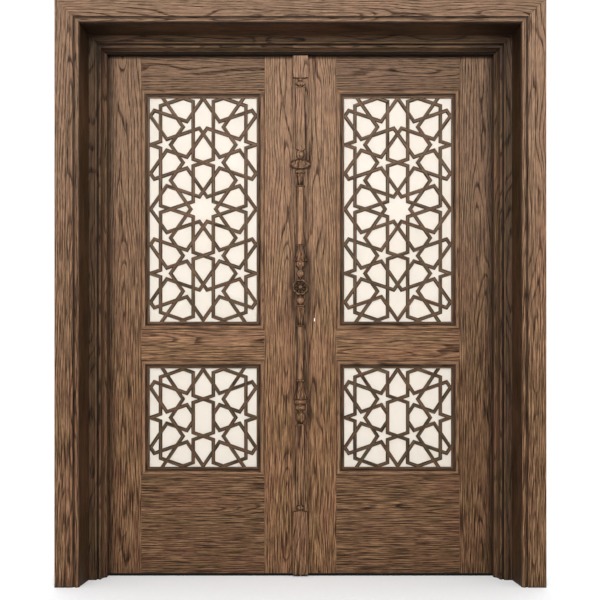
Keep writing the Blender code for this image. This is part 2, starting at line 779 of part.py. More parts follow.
def build_astragal(leaf, oak):
    top = FRAME_HEIGHT - STOP_INSET - ASTRAGAL_TOP_GAP
    board_back = LEAF_FRONT - GAP
    board_front = board_back - ASTRAGAL_BOARD_THICKNESS
    half = ASTRAGAL_WIDTH / 2
    add_box("astragal_board", (-half, board_front, FLOOR_GAP), (half, board_back, top), oak, leaf)
    bm = bmesh.new()
    column_back = board_front - GAP
    rows = []
    for kind, z, half_width, relief in column_stations(top, FLOOR_GAP):
        row = [(x, y, z) for x, y in section(kind, half_width, relief)]
        rows.append([bm.verts.new(point) for point in row])
    for upper, lower in zip(rows, rows[1:]):
        for i in range(len(upper)):
            j = (i + 1) % len(upper)
            bm.faces.new((upper[i], upper[j], lower[j], lower[i]))
    bm.faces.new(rows[0])
    bm.faces.new(rows[-1])
    mesh = finish_mesh("astragal_column", bm)
    column = add_object("astragal_column", mesh, oak, leaf, (0, y_of(column_back), 0))
    flower = bpy.data.objects.new("rosette_helper", rosette_mesh("rosette_helper"))
    flower.location = (0, y_of(column_back), FLOOR_GAP + (top - FLOOR_GAP) * ROSETTE_SHARE)
    hide_helper(flower)
    add_boolean(column, flower, "UNION")


def build_leaf(word, side, root, materials):
    leaf = make_empty(f"{word}_leaf_axis", (side * AXIS_X, y_of(AXIS_DEPTH), 0))
    wood = build_leaf_wood(word, side, leaf, materials["leaf"])
    for level, hole in (("lower", LOWER_HOLE), ("upper", UPPER_HOLE)):
        build_opening(word, side, level, hole, leaf, materials)
    middle = (FLOOR_GAP + LEAF_TOP) / 2
    for number, z in enumerate((FLOOR_GAP + HINGE_FROM_END, middle, LEAF_TOP - HINGE_FROM_END), 1):
        build_hinge(word, side, number, z, root, leaf, materials["steel"])
    if side < 0:
        build_astragal(leaf, materials["trim"])
    else:
        cut_keyhole(wood["meeting_stile"])


def build_door():
    clear_scene()
    materials = {
        "frame": make_material("oak_frame", (0.25, 0.14, 0.08), 0.5),
        "leaf": make_material("oak_leaf", (0.23, 0.13, 0.07), 0.5),
        "trim": make_material("oak_trim", (0.24, 0.13, 0.07), 0.45),
        "lattice": make_material("oak_lattice", (0.22, 0.12, 0.065), 0.5),
        "glass": make_material("frosted_glass", (0.91, 0.88, 0.80), 0.35),
        "steel": make_material("hinge_steel", (0.35, 0.30, 0.24), 0.35, 1.0),
    }
    root = make_empty("frame_root", (0, 0, 0))
    build_frame(root, materials["frame"])
    for word, side in SIDES:
        build_leaf(word, side, root, materials)


build_door()
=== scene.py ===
import cmath
import math
from functools import partial

import bmesh
import bpy
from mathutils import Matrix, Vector


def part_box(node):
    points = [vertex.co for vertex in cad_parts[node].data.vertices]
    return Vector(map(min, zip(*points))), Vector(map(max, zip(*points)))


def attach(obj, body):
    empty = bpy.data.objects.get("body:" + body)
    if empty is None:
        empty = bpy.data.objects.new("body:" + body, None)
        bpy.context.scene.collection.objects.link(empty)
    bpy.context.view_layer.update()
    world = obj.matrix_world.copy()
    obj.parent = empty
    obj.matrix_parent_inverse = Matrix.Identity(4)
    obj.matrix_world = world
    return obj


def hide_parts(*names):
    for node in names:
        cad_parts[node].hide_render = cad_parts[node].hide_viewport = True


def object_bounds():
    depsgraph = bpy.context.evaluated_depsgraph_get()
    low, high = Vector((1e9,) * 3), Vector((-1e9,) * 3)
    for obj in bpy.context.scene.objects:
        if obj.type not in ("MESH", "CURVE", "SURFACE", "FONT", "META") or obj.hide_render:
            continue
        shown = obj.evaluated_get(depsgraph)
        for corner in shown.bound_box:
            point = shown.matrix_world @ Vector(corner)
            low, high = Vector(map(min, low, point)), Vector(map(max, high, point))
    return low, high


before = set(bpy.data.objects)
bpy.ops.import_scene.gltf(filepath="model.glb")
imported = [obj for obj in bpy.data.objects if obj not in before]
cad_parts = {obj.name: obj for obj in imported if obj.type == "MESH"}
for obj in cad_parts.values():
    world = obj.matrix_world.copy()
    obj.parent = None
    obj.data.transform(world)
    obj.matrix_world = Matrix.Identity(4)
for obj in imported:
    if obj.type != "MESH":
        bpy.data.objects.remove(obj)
cadLow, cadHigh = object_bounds()

# Places that the pieces share, in metres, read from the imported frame.
halfWidth, frontY, frameTop = cadHigh.x, cadLow.y, cadHigh.z
stileLow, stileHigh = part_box("right_hinge_stile")
leafFrontY, leafBackY = stileLow.y, stileHigh.y
stopEdge, headEdge = -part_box("jamb_left")[1].x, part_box("jamb_head")[0].z
columnLow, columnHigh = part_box("astragal_column")
fitGap = 0.0003  # between two pieces that are joined
sides = (("left", -1), ("right", 1))
upright, level = Vector((0, 0, 1)), Vector((1, 0, 0))


# Shapes: lists of points and faces, each face with the board that it is cut from

boards = []  # for each board, its grain's direction, the middle of its front face and how light it is


def newBoard(direction, middle, tone=1.0):
    boards.append((Vector(direction), Vector(middle), tone))
    return len(boards) - 1


def scatter(number, seed, reach):
    # Spreads the boards over the tree, always in the same way.
    return math.sin(number * seed) * reach


def newShape():
    return {"points": [], "faces": [], "board": [], "worn": [], "pooled": []}


def addFaces(shape, points, faces, board, worn=(), pooled={}):
    start = len(shape["points"])
    shape["points"] += [tuple(point) for point in points]
    for number, face in enumerate(faces):
        shape["faces"].append([start + i for i in face])
        shape["board"].append(board)
        shape["worn"].append(float(number in worn))
        shape["pooled"].append(float(pooled.get(number, 0)))


def addSweep(shape, rings, board, worn=(), pooled={}, capped=True):
    # Skins the rings in order; worn has the profile's rubbed sides, pooled how dark the painted shade on its
    # sides is.
    count, last = len(rings[0]), len(rings) - 1
    faces, rubbed, dark = [], set(), {}
    for start in range(0, last * count, count):
        for i in range(count):
            j = (i + 1) % count
            faces.append((start + i, start + j, start + count + j, start + count + i))
        rubbed |= {start + i for i in worn}
        dark |= {start + i: amount for i, amount in pooled.items()}
    if capped:
        faces += [range(count), range(last * count, (last + 1) * count)]
    addFaces(shape, [point for ring in rings for point in ring], faces, board, rubbed, dark)


def addBlock(shape, low, high, board, arris):
    # A block with rounded arrises, which are the sides that hands and cloths rub.
    low, high = Vector(low), Vector(high)
    bm = bmesh.new()
    bmesh.ops.create_cube(bm, size=1)
    bmesh.ops.scale(bm, vec=high - low, verts=bm.verts)
    bmesh.ops.translate(bm, vec=(low + high) / 2, verts=bm.verts)
    bmesh.ops.bevel(bm, geom=bm.edges[:], offset=arris, segments=2, profile=0.5, affect="EDGES")
    bm.verts.index_update()
    bm.normal_update()
    faces = [[vert.index for vert in face.verts] for face in bm.faces]
    worn = {i for i, face in enumerate(bm.faces) if max(map(abs, face.normal)) < 0.999}
    addFaces(shape, [vert.co for vert in bm.verts], faces, board, worn)
    bm.free()


def arcPoints(middle, radius, startDeg, endDeg, steps):
    turn = (endDeg - startDeg) / steps
    angles = [math.radians(startDeg + turn * i) for i in range(steps + 1)]
    return [(middle[0] + radius * math.cos(a), middle[1] - radius * math.sin(a)) for a in angles]


def frontOf(low, high):
    # The middle of a box's front face, and half its width and height.
    middle = Vector(((low.x + high.x) / 2, low.y, (low.z + high.z) / 2))
    return middle, (high.x - low.x) / 2, (high.z - low.z) / 2


def newMesh(name, shape):
    mesh = bpy.data.meshes.new(name)
    mesh.from_pydata(shape["points"], [], shape["faces"])
    bm = bmesh.new()
    bm.from_mesh(mesh)
    bmesh.ops.recalc_face_normals(bm, faces=bm.faces)
    bm.to_mesh(mesh)
    bm.free()
    return mesh


def addObject(name, data):
    thing = bpy.data.objects.new(name, data)
    bpy.context.scene.collection.objects.link(thing)
    return thing


def makePiece(node, shape, finish, body, slot, sharpDegrees=32):
    # A piece is named after the node that it stands for; one without a slot stands for none.
    first, *others = node.split("_")
    name = first + "".join(word.title() for word in others)
    mesh = newMesh(name, shape)
    grain = []  # across, through and along the board, in metres
    for polygon, number in zip(mesh.polygons, shape["board"]):
        direction, middle, _ = boards[number]
        across = direction.cross(Vector((0, 1, 0)))
        aside, along = scatter(number, 7.7, 0.02), scatter(number, 12.9898, 43.7)
        for i in polygon.vertices:
            place = mesh.vertices[i].co - middle
            grain += [place.dot(across) + aside, place.y, place.dot(direction) + along]
    mesh.attributes.new("grain", "FLOAT_VECTOR", "CORNER").data.foreach_set("vector", grain)
    shape["tone"] = [boards[number][2] for number in shape["board"]]
    for mark in ("worn", "pooled", "tone"):
        mesh.attributes.new(mark, "FLOAT", "FACE").data.foreach_set("value", shape[mark])
    mesh.shade_smooth()
    mesh.set_sharp_from_angle(angle=math.radians(sharpDegrees))
    mesh.materials.append(finishes[finish])
    piece = addObject(name, mesh)
    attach(piece, body)
    if slot:
        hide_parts(node)
    return piece


# Materials

finishes = {}
mainSetting = {
    "Attribute": "attribute_name",
    "MapRange": "interpolation_type",
    "Math": "operation",
    "Mix": "data_type",
    "VectorMath": "operation",
}


def linear(hexColour):
    channels = [int(hexColour[i : i + 2], 16) / 255 for i in (1, 3, 5)]
    return tuple(c / 12.92 if c <= 0.04045 else ((c + 0.055) / 1.055) ** 2.4 for c in channels) + (1.0,)


def fill(node, values):
    # Values go to sockets by name, or to those in use in their order; a node gives its first output in use.
    if not isinstance(values, dict):
        values = dict(zip([i for i, socket in enumerate(node.inputs) if socket.enabled], values))
    for key, value in values.items():
        if isinstance(value, bpy.types.Node):
            value = next(output for output in value.outputs if output.enabled)
        if isinstance(value, bpy.types.NodeSocket):
            node.id_data.links.new(value, node.inputs[key])
        else:
            node.inputs[key].default_value = value


def addNode(tree, kind, setting=None, values=()):
    node = tree.nodes.new("ShaderNode" + kind)
    if setting:
        setattr(node, mainSetting[kind], setting)
    fill(node, values)
    return node


def newMaterial(name):
    material = bpy.data.materials.new(name)
    material.use_nodes = True
    finishes[name] = material
    return material.node_tree.nodes["Principled BSDF"], partial(addNode, material.node_tree)


# Flat-sawn European oak, brushed so that its soft early wood sinks, stained walnut brown and oiled.
# To the eye: thin dark ring lines that close into pointed ovals, dark dashes of open pore, almost no gloss.
oakGrain = {
    "ringMm": 9.0,
    "pithMm": 32.0,
    "taper": 0.02,
    "waverMm": (10, 75, 0),  # how far the rings wander across the board and through it
    "layers": {  # across the grain and along it, both in mm, and detail
        "waver": (80, 430, 1),
        "streak": (3.4, 120, 4),
        "dash": (3.2, 42, 1),
        "patch": (95, 280, 2),
        "wear": (14, 60, 3),
    },
    "olive": "#5d4a2e",
    "rosy": "#79503f",
    "faded": "#886e5a",
    "sheenFrom": 0.5,  # painted sheen: what lies above this height in metres is drawn paler and whiter, as if lit from above
    "footDarkening": (0.0, 0.07, 0.3),  # darker towards the floor: from and to this height, and how dark
    "stopShade": (-0.006, 0.045, 0.95),  # painted shade on the leaves beside the stops, by how far it reaches in from the stop's edge
    # painted shade on the leaves under the head, by how far it reaches down from the head's edge
    "headDirt": (-0.004, 0.02, 0.4),
    "cornerShade": (0.13, 0.4, 0.75),  # painted shade in the portal's upper corners, from and to this far in
    # Painted shade beside the carved column: share of its height, how dark, from and to how far out.
    "carvingShade": (
        (0.0, 0.05, 0.03, 0.05), (0.28, 0.05, 0.03, 0.05), (0.3, 0.45, 0.03, 0.06),
        (0.35, 0.5, 0.03, 0.06), (0.375, 0.55, 0.016, 0.038), (0.48, 0.5, 0.016, 0.038),
        (0.515, 0.7, 0.03, 0.07), (0.605, 0.7, 0.03, 0.07), (0.635, 0.4, 0.016, 0.038),
        (0.73, 0.3, 0.016, 0.038), (0.76, 0.3, 0.016, 0.05), (0.8, 0.25, 0.03, 0.06),
        (0.83, 0.1, 0.03, 0.05), (1.0, 0.05, 0.03, 0.05),
    ),
    "carvingShadeShift": 0.006,  # how far the painted shade's middle lies to the right of the column's, like a shadow cast from the left
    "reliefMm": 1.3,
    "relief": {"streak": 0.9, "ring": -0.6, "pore": -0.9},  # what stands up and what sinks
    "rough": (0.62, -0.12),  # the wood's, and what a light streak adds to it
    "gloss": 0.12,
}
oakFinishes = {  # light, middle and dark wood, pores, and how strong the painted sheen is towards the top
    "stainedOakCasing": ("#8b6a50", "#563c24", "#261308", "#160903", 0.5),
    # The reveal and stop are the same oak drawn darker: painted shade inside the portal.
    "stainedOakReveal": ("#46301d", "#3a2614", "#24160b", "#140a04", 0.0),
    "stainedOakStop": ("#5e4831", "#453120", "#211309", "#120803", 0.1),
    "stainedOakLeaf": ("#8d6b4e", "#583d26", "#261308", "#160903", 0.5),
    "stainedOakTrim": ("#8c6b50", "#5c412a", "#28150a", "#160903", 0.45),
    "stainedOakLattice": ("#5a4734", "#423223", "#271b10", "#160d07", 0.3),
}


def carvingShade(add, place):
    # How dark the painted shade is beside the column: a colour ramp up its height holds the amount and both
    # distances.
    scale = 10  # brings the distances, in metres, into the ramp's range
    share = add("MapRange", "LINEAR", (place["Z"], columnLow.z, columnHigh.z, 0, 1))
    curve = add("ValToRGB", None, [share])
    stops = oakGrain["carvingShade"]
    while len(curve.color_ramp.elements) < len(stops):
        curve.color_ramp.elements.new(0.5)
    for element, (at, amount, near, far) in zip(curve.color_ramp.elements, stops):
        element.position, element.color = at, (amount, scale * near, scale * far, 1)
    amount, near, far = add("SeparateXYZ", None, [curve]).outputs
    aside = add("Math", "SUBTRACT", (place["X"], oakGrain["carvingShadeShift"]))
    distance = add("Math", "MULTIPLY", (add("Math", "ABSOLUTE", [aside]), scale))
    beside = add("MapRange", "SMOOTHSTEP", (distance, near, far, 1, 0))
    behind = add("MapRange", "SMOOTHSTEP", (place["Y"], columnHigh.y - 2 * fitGap, columnHigh.y))
    return add("Math", "MULTIPLY", (add("Math", "MULTIPLY", (beside, amount)), behind))


def oakDarkening(name, add, place, pooled):
    # Painted shade in the hollows, beside the stops, under the head, in the portal's upper corners and beside
    # the carving, and darker towards the floor.
    distances = {"footDarkening": place["Z"]}
    if name in ("stainedOakLeaf", "stainedOakReveal", "stainedOakStop"):
        fromMiddle = add("Math", "ABSOLUTE", [place["X"]])
        edge, top = (stopEdge, headEdge) if name == "stainedOakLeaf" else (halfWidth, frameTop)
        insets = [add("Math", "SUBTRACT", pair) for pair in ((edge, fromMiddle), (top, place["Z"]))]
        if name == "stainedOakLeaf":
            distances["stopShade"], distances["headDirt"] = insets
        else:
            distances["cornerShade"] = add("Math", "MAXIMUM", insets)
    darkening = pooled
    for key, distance in distances.items():
        near, far, amount = oakGrain[key]
        reached = add("MapRange", "SMOOTHSTEP", (distance, near, far, amount, 0))
        darkening = add("Math", "MAXIMUM", (darkening, reached))
    if name in ("stainedOakLeaf", "stainedOakTrim"):
        darkening = add("Math", "MAXIMUM", (darkening, carvingShade(add, place)))
    return darkening


def makeOak(name, finish):
    shader, add = newMaterial(name)
    light, mid, dark, pore = (linear(shade) for shade in finish[:4])
    grain = add("Attribute", "grain").outputs["Vector"]
    worn, pooled, tone = (add("Attribute", mark).outputs["Fac"] for mark in ("worn", "pooled", "tone"))
    place = add("SeparateXYZ", None, [add("TexCoord").outputs["Object"]]).outputs
    noise = {}
    for layer, (acrossMm, alongMm, detail) in oakGrain["layers"].items():
        drawn = add("Mapping", None, {"Vector": grain, "Scale": (1, 1, acrossMm / alongMm)})
        values = {"Vector": drawn, "Scale": 1000 / acrossMm, "Detail": detail, "Roughness": 0.55}
        noise[layer] = add("TexNoise", None, values)

    # The rings round the pith, cut by the board's face.
    reach = tuple(mm / 1000 for mm in oakGrain["waverMm"])
    waver = add("VectorMath", "SUBTRACT", (noise["waver"].outputs["Color"], (0.5, 0.5, 0.5)))
    waver = add("VectorMath", "MULTIPLY_ADD", (waver, reach, grain))
    across, through, along = add("SeparateXYZ", None, [waver]).outputs
    depth = add("Math", "ADD", (through, oakGrain["pithMm"] / 1000))
    squares = [add("Math", "MULTIPLY", (length, length)) for length in (across, depth)]
    radius = add("Math", "SQRT", [add("Math", "ADD", squares)])
    grown = add("Math", "MULTIPLY_ADD", (along, oakGrain["taper"], radius))
    ring = add("Math", "FRACT", [add("Math", "DIVIDE", (grown, oakGrain["ringMm"] / 1000))])

    # Each mask's source, where it starts and ends, and what it is there.
    streak = noise["streak"].outputs["Fac"]
    patch = add("SeparateXYZ", None, [noise["patch"].outputs["Color"]]).outputs["Y"]
    masks = {
        "ringEnd": (ring, 0.08, 0.34, 1, 0),
        "ringStart": (ring, 0.94, 1),
        "ringFade": (streak, 0.32, 0.62, 1, 0.45),
        "pore": (noise["dash"], 0.5, 0.6),
        "light": (streak, 0.46, 0.6),
        "dark": (streak, 0.38, 0.5, 1, 0),
        "olive": (noise["patch"], 0.35, 0.65),
        "rosy": (patch, 0.4, 0.65),
        # painted sheen: paler and whiter towards the top
        "faded": (place["Z"], oakGrain["sheenFrom"], frameTop, 0, finish[4]),
        "rubbed": (noise["wear"], 0.4, 0.6, 0.1, 0.6),
    }
    masks = {key: add("MapRange", "SMOOTHSTEP", values) for key, values in masks.items()}
    ringLine = add("Math", "ADD", (masks["ringEnd"], masks["ringStart"]))
    ringLine = add("Math", "MULTIPLY", (ringLine, masks["ringFade"]))
    nearRing = add("Math", "MULTIPLY_ADD", (ringLine, 0.65, 0.35))  # pores crowd where a ring starts
    dash = add("Math", "MULTIPLY", (masks["pore"], nearRing))
    rubbed = add("Math", "MULTIPLY", (worn, masks["rubbed"]))

    # The paints, one over the other: where, how strong and which colour.
    colour = mid
    for mask, strength, paint in (
        (masks["light"], 1, light),
        (masks["dark"], 0.95, dark),
        (masks["olive"], 0.25, linear(oakGrain["olive"])),
        (masks["rosy"], 0.25, linear(oakGrain["rosy"])),
        (masks["faded"], 1, linear(oakGrain["faded"])),
        (ringLine, 0.95, dark),
        (dash, 0.9, pore),
        (rubbed, 1, light),
        # painted shade, and darker towards the floor
        (oakDarkening(name, add, place, pooled), 0.85, pore),
    ):
        if strength < 1:
            mask = add("Math", "MULTIPLY", (mask, strength))
        colour = add("Mix", "RGBA", (mask, colour, paint))

    heights, (rough, streakRough) = oakGrain["relief"], oakGrain["rough"]
    relief = add("Math", "MULTIPLY", (dash, heights["pore"]))
    relief = add("Math", "MULTIPLY_ADD", (ringLine, heights["ring"], relief))
    relief = add("Math", "MULTIPLY_ADD", (streak, heights["streak"], relief))
    bump = {"Height": relief, "Strength": 0.9, "Distance": oakGrain["reliefMm"] / 1000}
    fill(shader, {
        "Base Color": add("VectorMath", "SCALE", (colour, tone)),
        "Roughness": add("Math", "MULTIPLY_ADD", (streak, streakRough, rough)),
        "Specular IOR Level": oakGrain["gloss"],
        "Normal": add("Bump", None, bump),
    })


# Float glass, acid-etched on one side and backed with a warm film: an even, milky, slightly cream glow.
frostedGlass = {
    "colour": "#e2dbd1",
    "cloud": "#ddd3c6",
    "cloudMm": 160,
    "etchMm": 1.2,
    "etchDepthMm": 0.2,
    "rough": (0.55, 0.65),
    "clear": 0.7,
}


def makeFrostedGlass():
    shader, add = newMaterial("etchedFloatGlass")
    place = add("TexCoord").outputs["Object"]
    cloud = {"Vector": place, "Scale": 1000 / frostedGlass["cloudMm"], "Detail": 3}
    etch = add("TexNoise", None, {"Vector": place, "Scale": 1000 / frostedGlass["etchMm"]})
    tints = linear(frostedGlass["colour"]), linear(frostedGlass["cloud"])
    bump = {"Height": etch, "Strength": 0.15, "Distance": frostedGlass["etchDepthMm"] / 1000}
    fill(shader, {
        "Base Color": add("Mix", "RGBA", (add("TexNoise", None, cloud), *tints)),
        "Roughness": add("MapRange", "LINEAR", (etch, 0, 1, *frostedGlass["rough"])),
        "Normal": add("Bump", None, bump),
        "Transmission Weight": frostedGlass["clear"],
        "IOR": 1.5,
    })


# Pressed steel, bronze plated and lacquered: a brown metal with brushed streaks and darker worn patches.
bronzePlate = {
    "light": "#8a6a45",
    "dark": "#4b3724",
    "brushMm": 0.8,
    "brushStretch": 0.06,
    "patchMm": 16,
    "rough": (0.28, 0.46),
}


def makeBronzePlate():
    shader, add = newMaterial("bronzePlatedSteel")
    place = add("TexCoord").outputs["Object"]
    drawn = add("Mapping", None, {"Vector": place, "Scale": (1, 1, bronzePlate["brushStretch"])})
    brush = add("TexNoise", None, {"Vector": drawn, "Scale": 1000 / bronzePlate["brushMm"]})
    patch = {"Vector": place, "Scale": 1000 / bronzePlate["patchMm"], "Detail": 3}
    spread = add("MapRange", "LINEAR", (add("TexNoise", None, patch), 0.35, 0.65))
    tints = linear(bronzePlate["light"]), linear(bronzePlate["dark"])
    fill(shader, {
        "Base Color": add("Mix", "RGBA", (spread, *tints)),
        "Roughness": add("MapRange", "LINEAR", (brush, 0, 1, *bronzePlate["rough"])),
        "Metallic": 1,
    })


# Black nylon bristle, packed close: it swallows the light and shows fine upright hairs. It makes the block
# that stands in for the shadow in the gap under the leaves: painted shadow.
sealBristle = {
    "colour": "#0d0c0b",
    "hair": "#1d1b19",
    "hairMm": 0.7,
    "hairStretch": 0.05,
    "hairDepthMm": 0.3,
}


def makeGapShadowBristle():
    shader, add = newMaterial("sealBristle")
    place = add("TexCoord").outputs["Object"]
    drawn = add("Mapping", None, {"Vector": place, "Scale": (1, 1, sealBristle["hairStretch"])})
    hairs = add("TexNoise", None, {"Vector": drawn, "Scale": 1000 / sealBristle["hairMm"]})
    tints = linear(sealBristle["colour"]), linear(sealBristle["hair"])
    bump = {"Height": hairs, "Strength": 0.6, "Distance": sealBristle["hairDepthMm"] / 1000}
    fill(shader, {
        "Base Color": add("Mix", "RGBA", (hairs, *tints)),
        "Roughness": 0.8,
        "Specular IOR Level": 0.05,
        "Normal": add("Bump", None, bump),
    })


for name, finish in oakFinishes.items():
    makeOak(name, finish)
makeGapShadowBristle()
makeFrostedGlass()
makeBronzePlate()
print("materials made:", len(finishes))


# The portal. Worn has the numbers of a profile's rubbed sides; each run of painted shade gives its first and
# last side and how dark they are, and the tones, painted light and shade, are those of the left leg, the
# right one and the head.

casing = {
    "finish": "stainedOakCasing",
    "grooveInset": 0.073,
    "grooveWidth": 0.006,
    "grooveDepth": 0.0055,
    "lineInsets": (0.045, 0.0615),
    "lineWidth": 0.0026,
    "lineDepth": 0.001,
    "arris": 0.002,
    "rebate": 0.002,
    "worn": (1, 2, 3),
    "dust": ((5, 6, 0.5), (8, 9, 0.5), (12, 14, 0.9), (15, 22, 0.15), (23, 26, 0.7)),
    "headDust": ((22, 26, 1),),
    # painted light: the right leg drawn lighter
    "tones": (1, 1.12, 1),
}
# The reveal's tones are painted shade: the right leg drawn darker and the head darker still.
lining = {"finish": "stainedOakReveal", "worn": (), "dust": (), "headDust": (), "tones": (1, 0.9, 0.72)}
stop = {
    "finish": "stainedOakStop",
    "flat": 0.024,
    "bead": 0.008,
    "quirk": 0.012,
    "fillet": 0.008,
    "nose": 0.005,
    "coveReach": 0.043,
    "leafGap": 0.001,
    "edgeGap": 0.004,
    "worn": range(4, 10),
    "dust": ((1, 2, 0.45), (11, 13, 1)),
    "headDust": ((21, 29, 1.18),),
    # painted shade: the right leg drawn darker
    "tones": (1, 0.93, 1),
}
footShadowHeight = 0.004  # painted shadow: the band this high above the floor is drawn fully dark where the portal meets it


def casingProfile():
    low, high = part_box("casing_left")
    width, thickness = high.x - low.x, high.y - low.y
    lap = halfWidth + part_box("lining_left")[0].x - fitGap
    groove, depth, arris = casing["grooveInset"], casing["grooveDepth"], casing["arris"]
    beadStart = groove + casing["grooveWidth"]
    beadRadius = (width - beadStart) / 2
    scribed = []
    for inset in casing["lineInsets"]:
        half = casing["lineWidth"] / 2
        scribed += [(inset - half, 0), (inset, casing["lineDepth"]), (inset + half, 0)]
    return [
        (0, thickness),
        *arcPoints((arris, arris), arris, 180, 90, 3),
        *scribed,
        (groove - arris / 2, 0),
        (groove, arris / 3),
        (groove + casing["grooveWidth"] / 3, depth),
        (beadStart, depth),
        *arcPoints((beadStart + beadRadius, beadRadius), beadRadius, 165, 0, 11),
        (width, thickness - casing["rebate"]),
        (lap, thickness - casing["rebate"]),
        (lap, thickness),
    ]


def liningProfile():
    low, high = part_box("lining_left")
    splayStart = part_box("casing_left")[1].x + halfWidth
    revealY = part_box("jamb_left")[0].y
    outer, inner = low.x + halfWidth, high.x + halfWidth
    front, back = low.y - frontY, high.y - frontY
    chamfer = casing["rebate"]
    return [
        (outer, back), (outer, front + chamfer), (outer + chamfer, front), (splayStart, front),
        (inner, revealY - frontY), (inner, back),
    ]


def stopProfile():
    low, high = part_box("jamb_left")
    outer, inner = low.x + halfWidth, high.x + halfWidth
    revealDepth, back = low.y - frontY, high.y - frontY
    beadStart = outer + stop["flat"]
    beadRadius = stop["bead"] / 2
    bead = arcPoints((beadStart + beadRadius, revealDepth + beadRadius), beadRadius, 165, 0, 8)
    quirkDepth = revealDepth + stop["quirk"]
    filletStart = beadStart + stop["bead"] + stop["fillet"]
    filletDepth = quirkDepth - stop["fillet"] / 2
    coveStart, noseStart = filletStart + stop["fillet"], inner - stop["nose"]
    coveDepth = revealDepth + stop["coveReach"] - filletDepth
    cove, steps = [], 8
    for i in range(steps + 1):
        angle = math.pi / 2 * i / steps
        inset = coveStart + (noseStart - coveStart) * (1 - math.cos(angle))
        cove.append((inset, filletDepth + coveDepth * math.sin(angle)))
    nose = arcPoints((noseStart, cove[-1][1] + stop["nose"]), stop["nose"], 90, 0, 4)
    stopBack = leafFrontY - frontY - stop["leafGap"]
    rebate = halfWidth - stileHigh.x - stop["edgeGap"]
    return [
        (outer, back), (outer, revealDepth), (beadStart, revealDepth), *bead,
        (filletStart - stop["fillet"], quirkDepth), (filletStart, quirkDepth), (filletStart, filletDepth),
        *cove, *nose[1:], (inner, stopBack), (rebate, stopBack), (rebate, back),
    ]


def makePortalPart(part, look, profile):
    # Two legs and a head, mitred at the corners.
    middleInset = sum(u for u, _ in profile) / len(profile)
    dust, headDust = (
        {side: amount for first, last, amount in look[key] for side in range(first, last + 1)}
        for key in ("dust", "headDust")
    )
    for (word, side), tone in zip(sides, look["tones"]):
        feet = [(side * (halfWidth - u), frontY + d, 0) for u, d in profile]
        ankles = [(x, y, footShadowHeight) for x, y, _ in feet]
        mitre = frameTop - math.sqrt(2) * fitGap
        tops = [(x, y, mitre - u) for (x, y, _), (u, _) in zip(feet, profile)]
        board = newBoard(upright, (side * (halfWidth - middleInset), frontY, 0), tone)
        shape = newShape()
        addSweep(shape, [feet, ankles, tops], board, look["worn"], dust)
        # painted shadow: the lowest band is drawn fully dark
        shape["pooled"][: len(profile)] = [1.0] * len(profile)
        makePiece(f"{part}_{word}", shape, look["finish"], "frame", "oak_frame")
    ends = [[(side * (halfWidth - u), frontY + d, frameTop - u) for u, d in profile] for _, side in sides]
    shape = newShape()
    board = newBoard(level, (0, frontY, frameTop - middleInset), look["tones"][2])
    addSweep(shape, ends, board, look["worn"], dust | headDust)
    makePiece(f"{part}_head", shape, look["finish"], "frame", "oak_frame")


makePortalPart("casing", casing, casingProfile())
makePortalPart("lining", lining, liningProfile())
makePortalPart("jamb", stop, stopProfile())
print("portal made")


# The leaves' stiles and rails

leafWood = {
    "arris": 0.0012,
    "bottomPithRise": 0.07,
    # How light each piece is drawn: partly the boards' own tone, partly painted light and shade, lighter at
    # the meeting stiles and lock rails, darker under the head and at the right hinge stile.
    "tones": {
        "left_hinge_stile": 1.02, "right_hinge_stile": 0.86,
        "left_meeting_stile": 1.25, "right_meeting_stile": 1.25,
        "left_top_rail": 0.81, "right_top_rail": 0.75,
        "left_lock_rail": 1.2, "right_lock_rail": 1.2,
        "left_bottom_rail": 0.885, "right_bottom_rail": 0.885,
    },
}
keyhole = {"width": 0.0038, "height": 0.014, "fromEdge": 0.057, "aboveRail": 0.042, "cutPast": 0.02}
gapShadowBlock = {"thickness": 0.012, "behindFace": 0.0005, "aboveFloor": 0.0005, "arris": 0.0006}


def cutKeyhole(piece):
    # A slot with round ends, right through the stile.
    radius = keyhole["width"] / 2
    straight = keyhole["height"] / 2 - radius
    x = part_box("right_meeting_stile")[0].x + keyhole["fromEdge"]
    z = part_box("right_lock_rail")[1].z + keyhole["aboveRail"]
    ring = []
    for start, shift in ((0, straight), (180, -straight)):
        ring += [(x + u, z + v + shift) for u, v in arcPoints((0, 0), radius, -start, -start - 180, 8)]
    past = keyhole["cutPast"]
    ends = [[(u, y, v) for u, v in ring] for y in (leafFrontY - past, leafBackY + past)]
    shape = newShape()
    addSweep(shape, ends, newBoard(upright, (x, 0, z)))
    cutter = addObject("keyholeCutter", newMesh("keyholeCutter", shape))
    modifier = piece.modifiers.new("keyhole", "BOOLEAN")
    modifier.object, modifier.solver = cutter, "EXACT"
    cut = bpy.data.meshes.new_from_object(piece.evaluated_get(bpy.context.evaluated_depsgraph_get()))
    piece.modifiers.clear()
    piece.data = cut
    bpy.data.objects.remove(cutter)


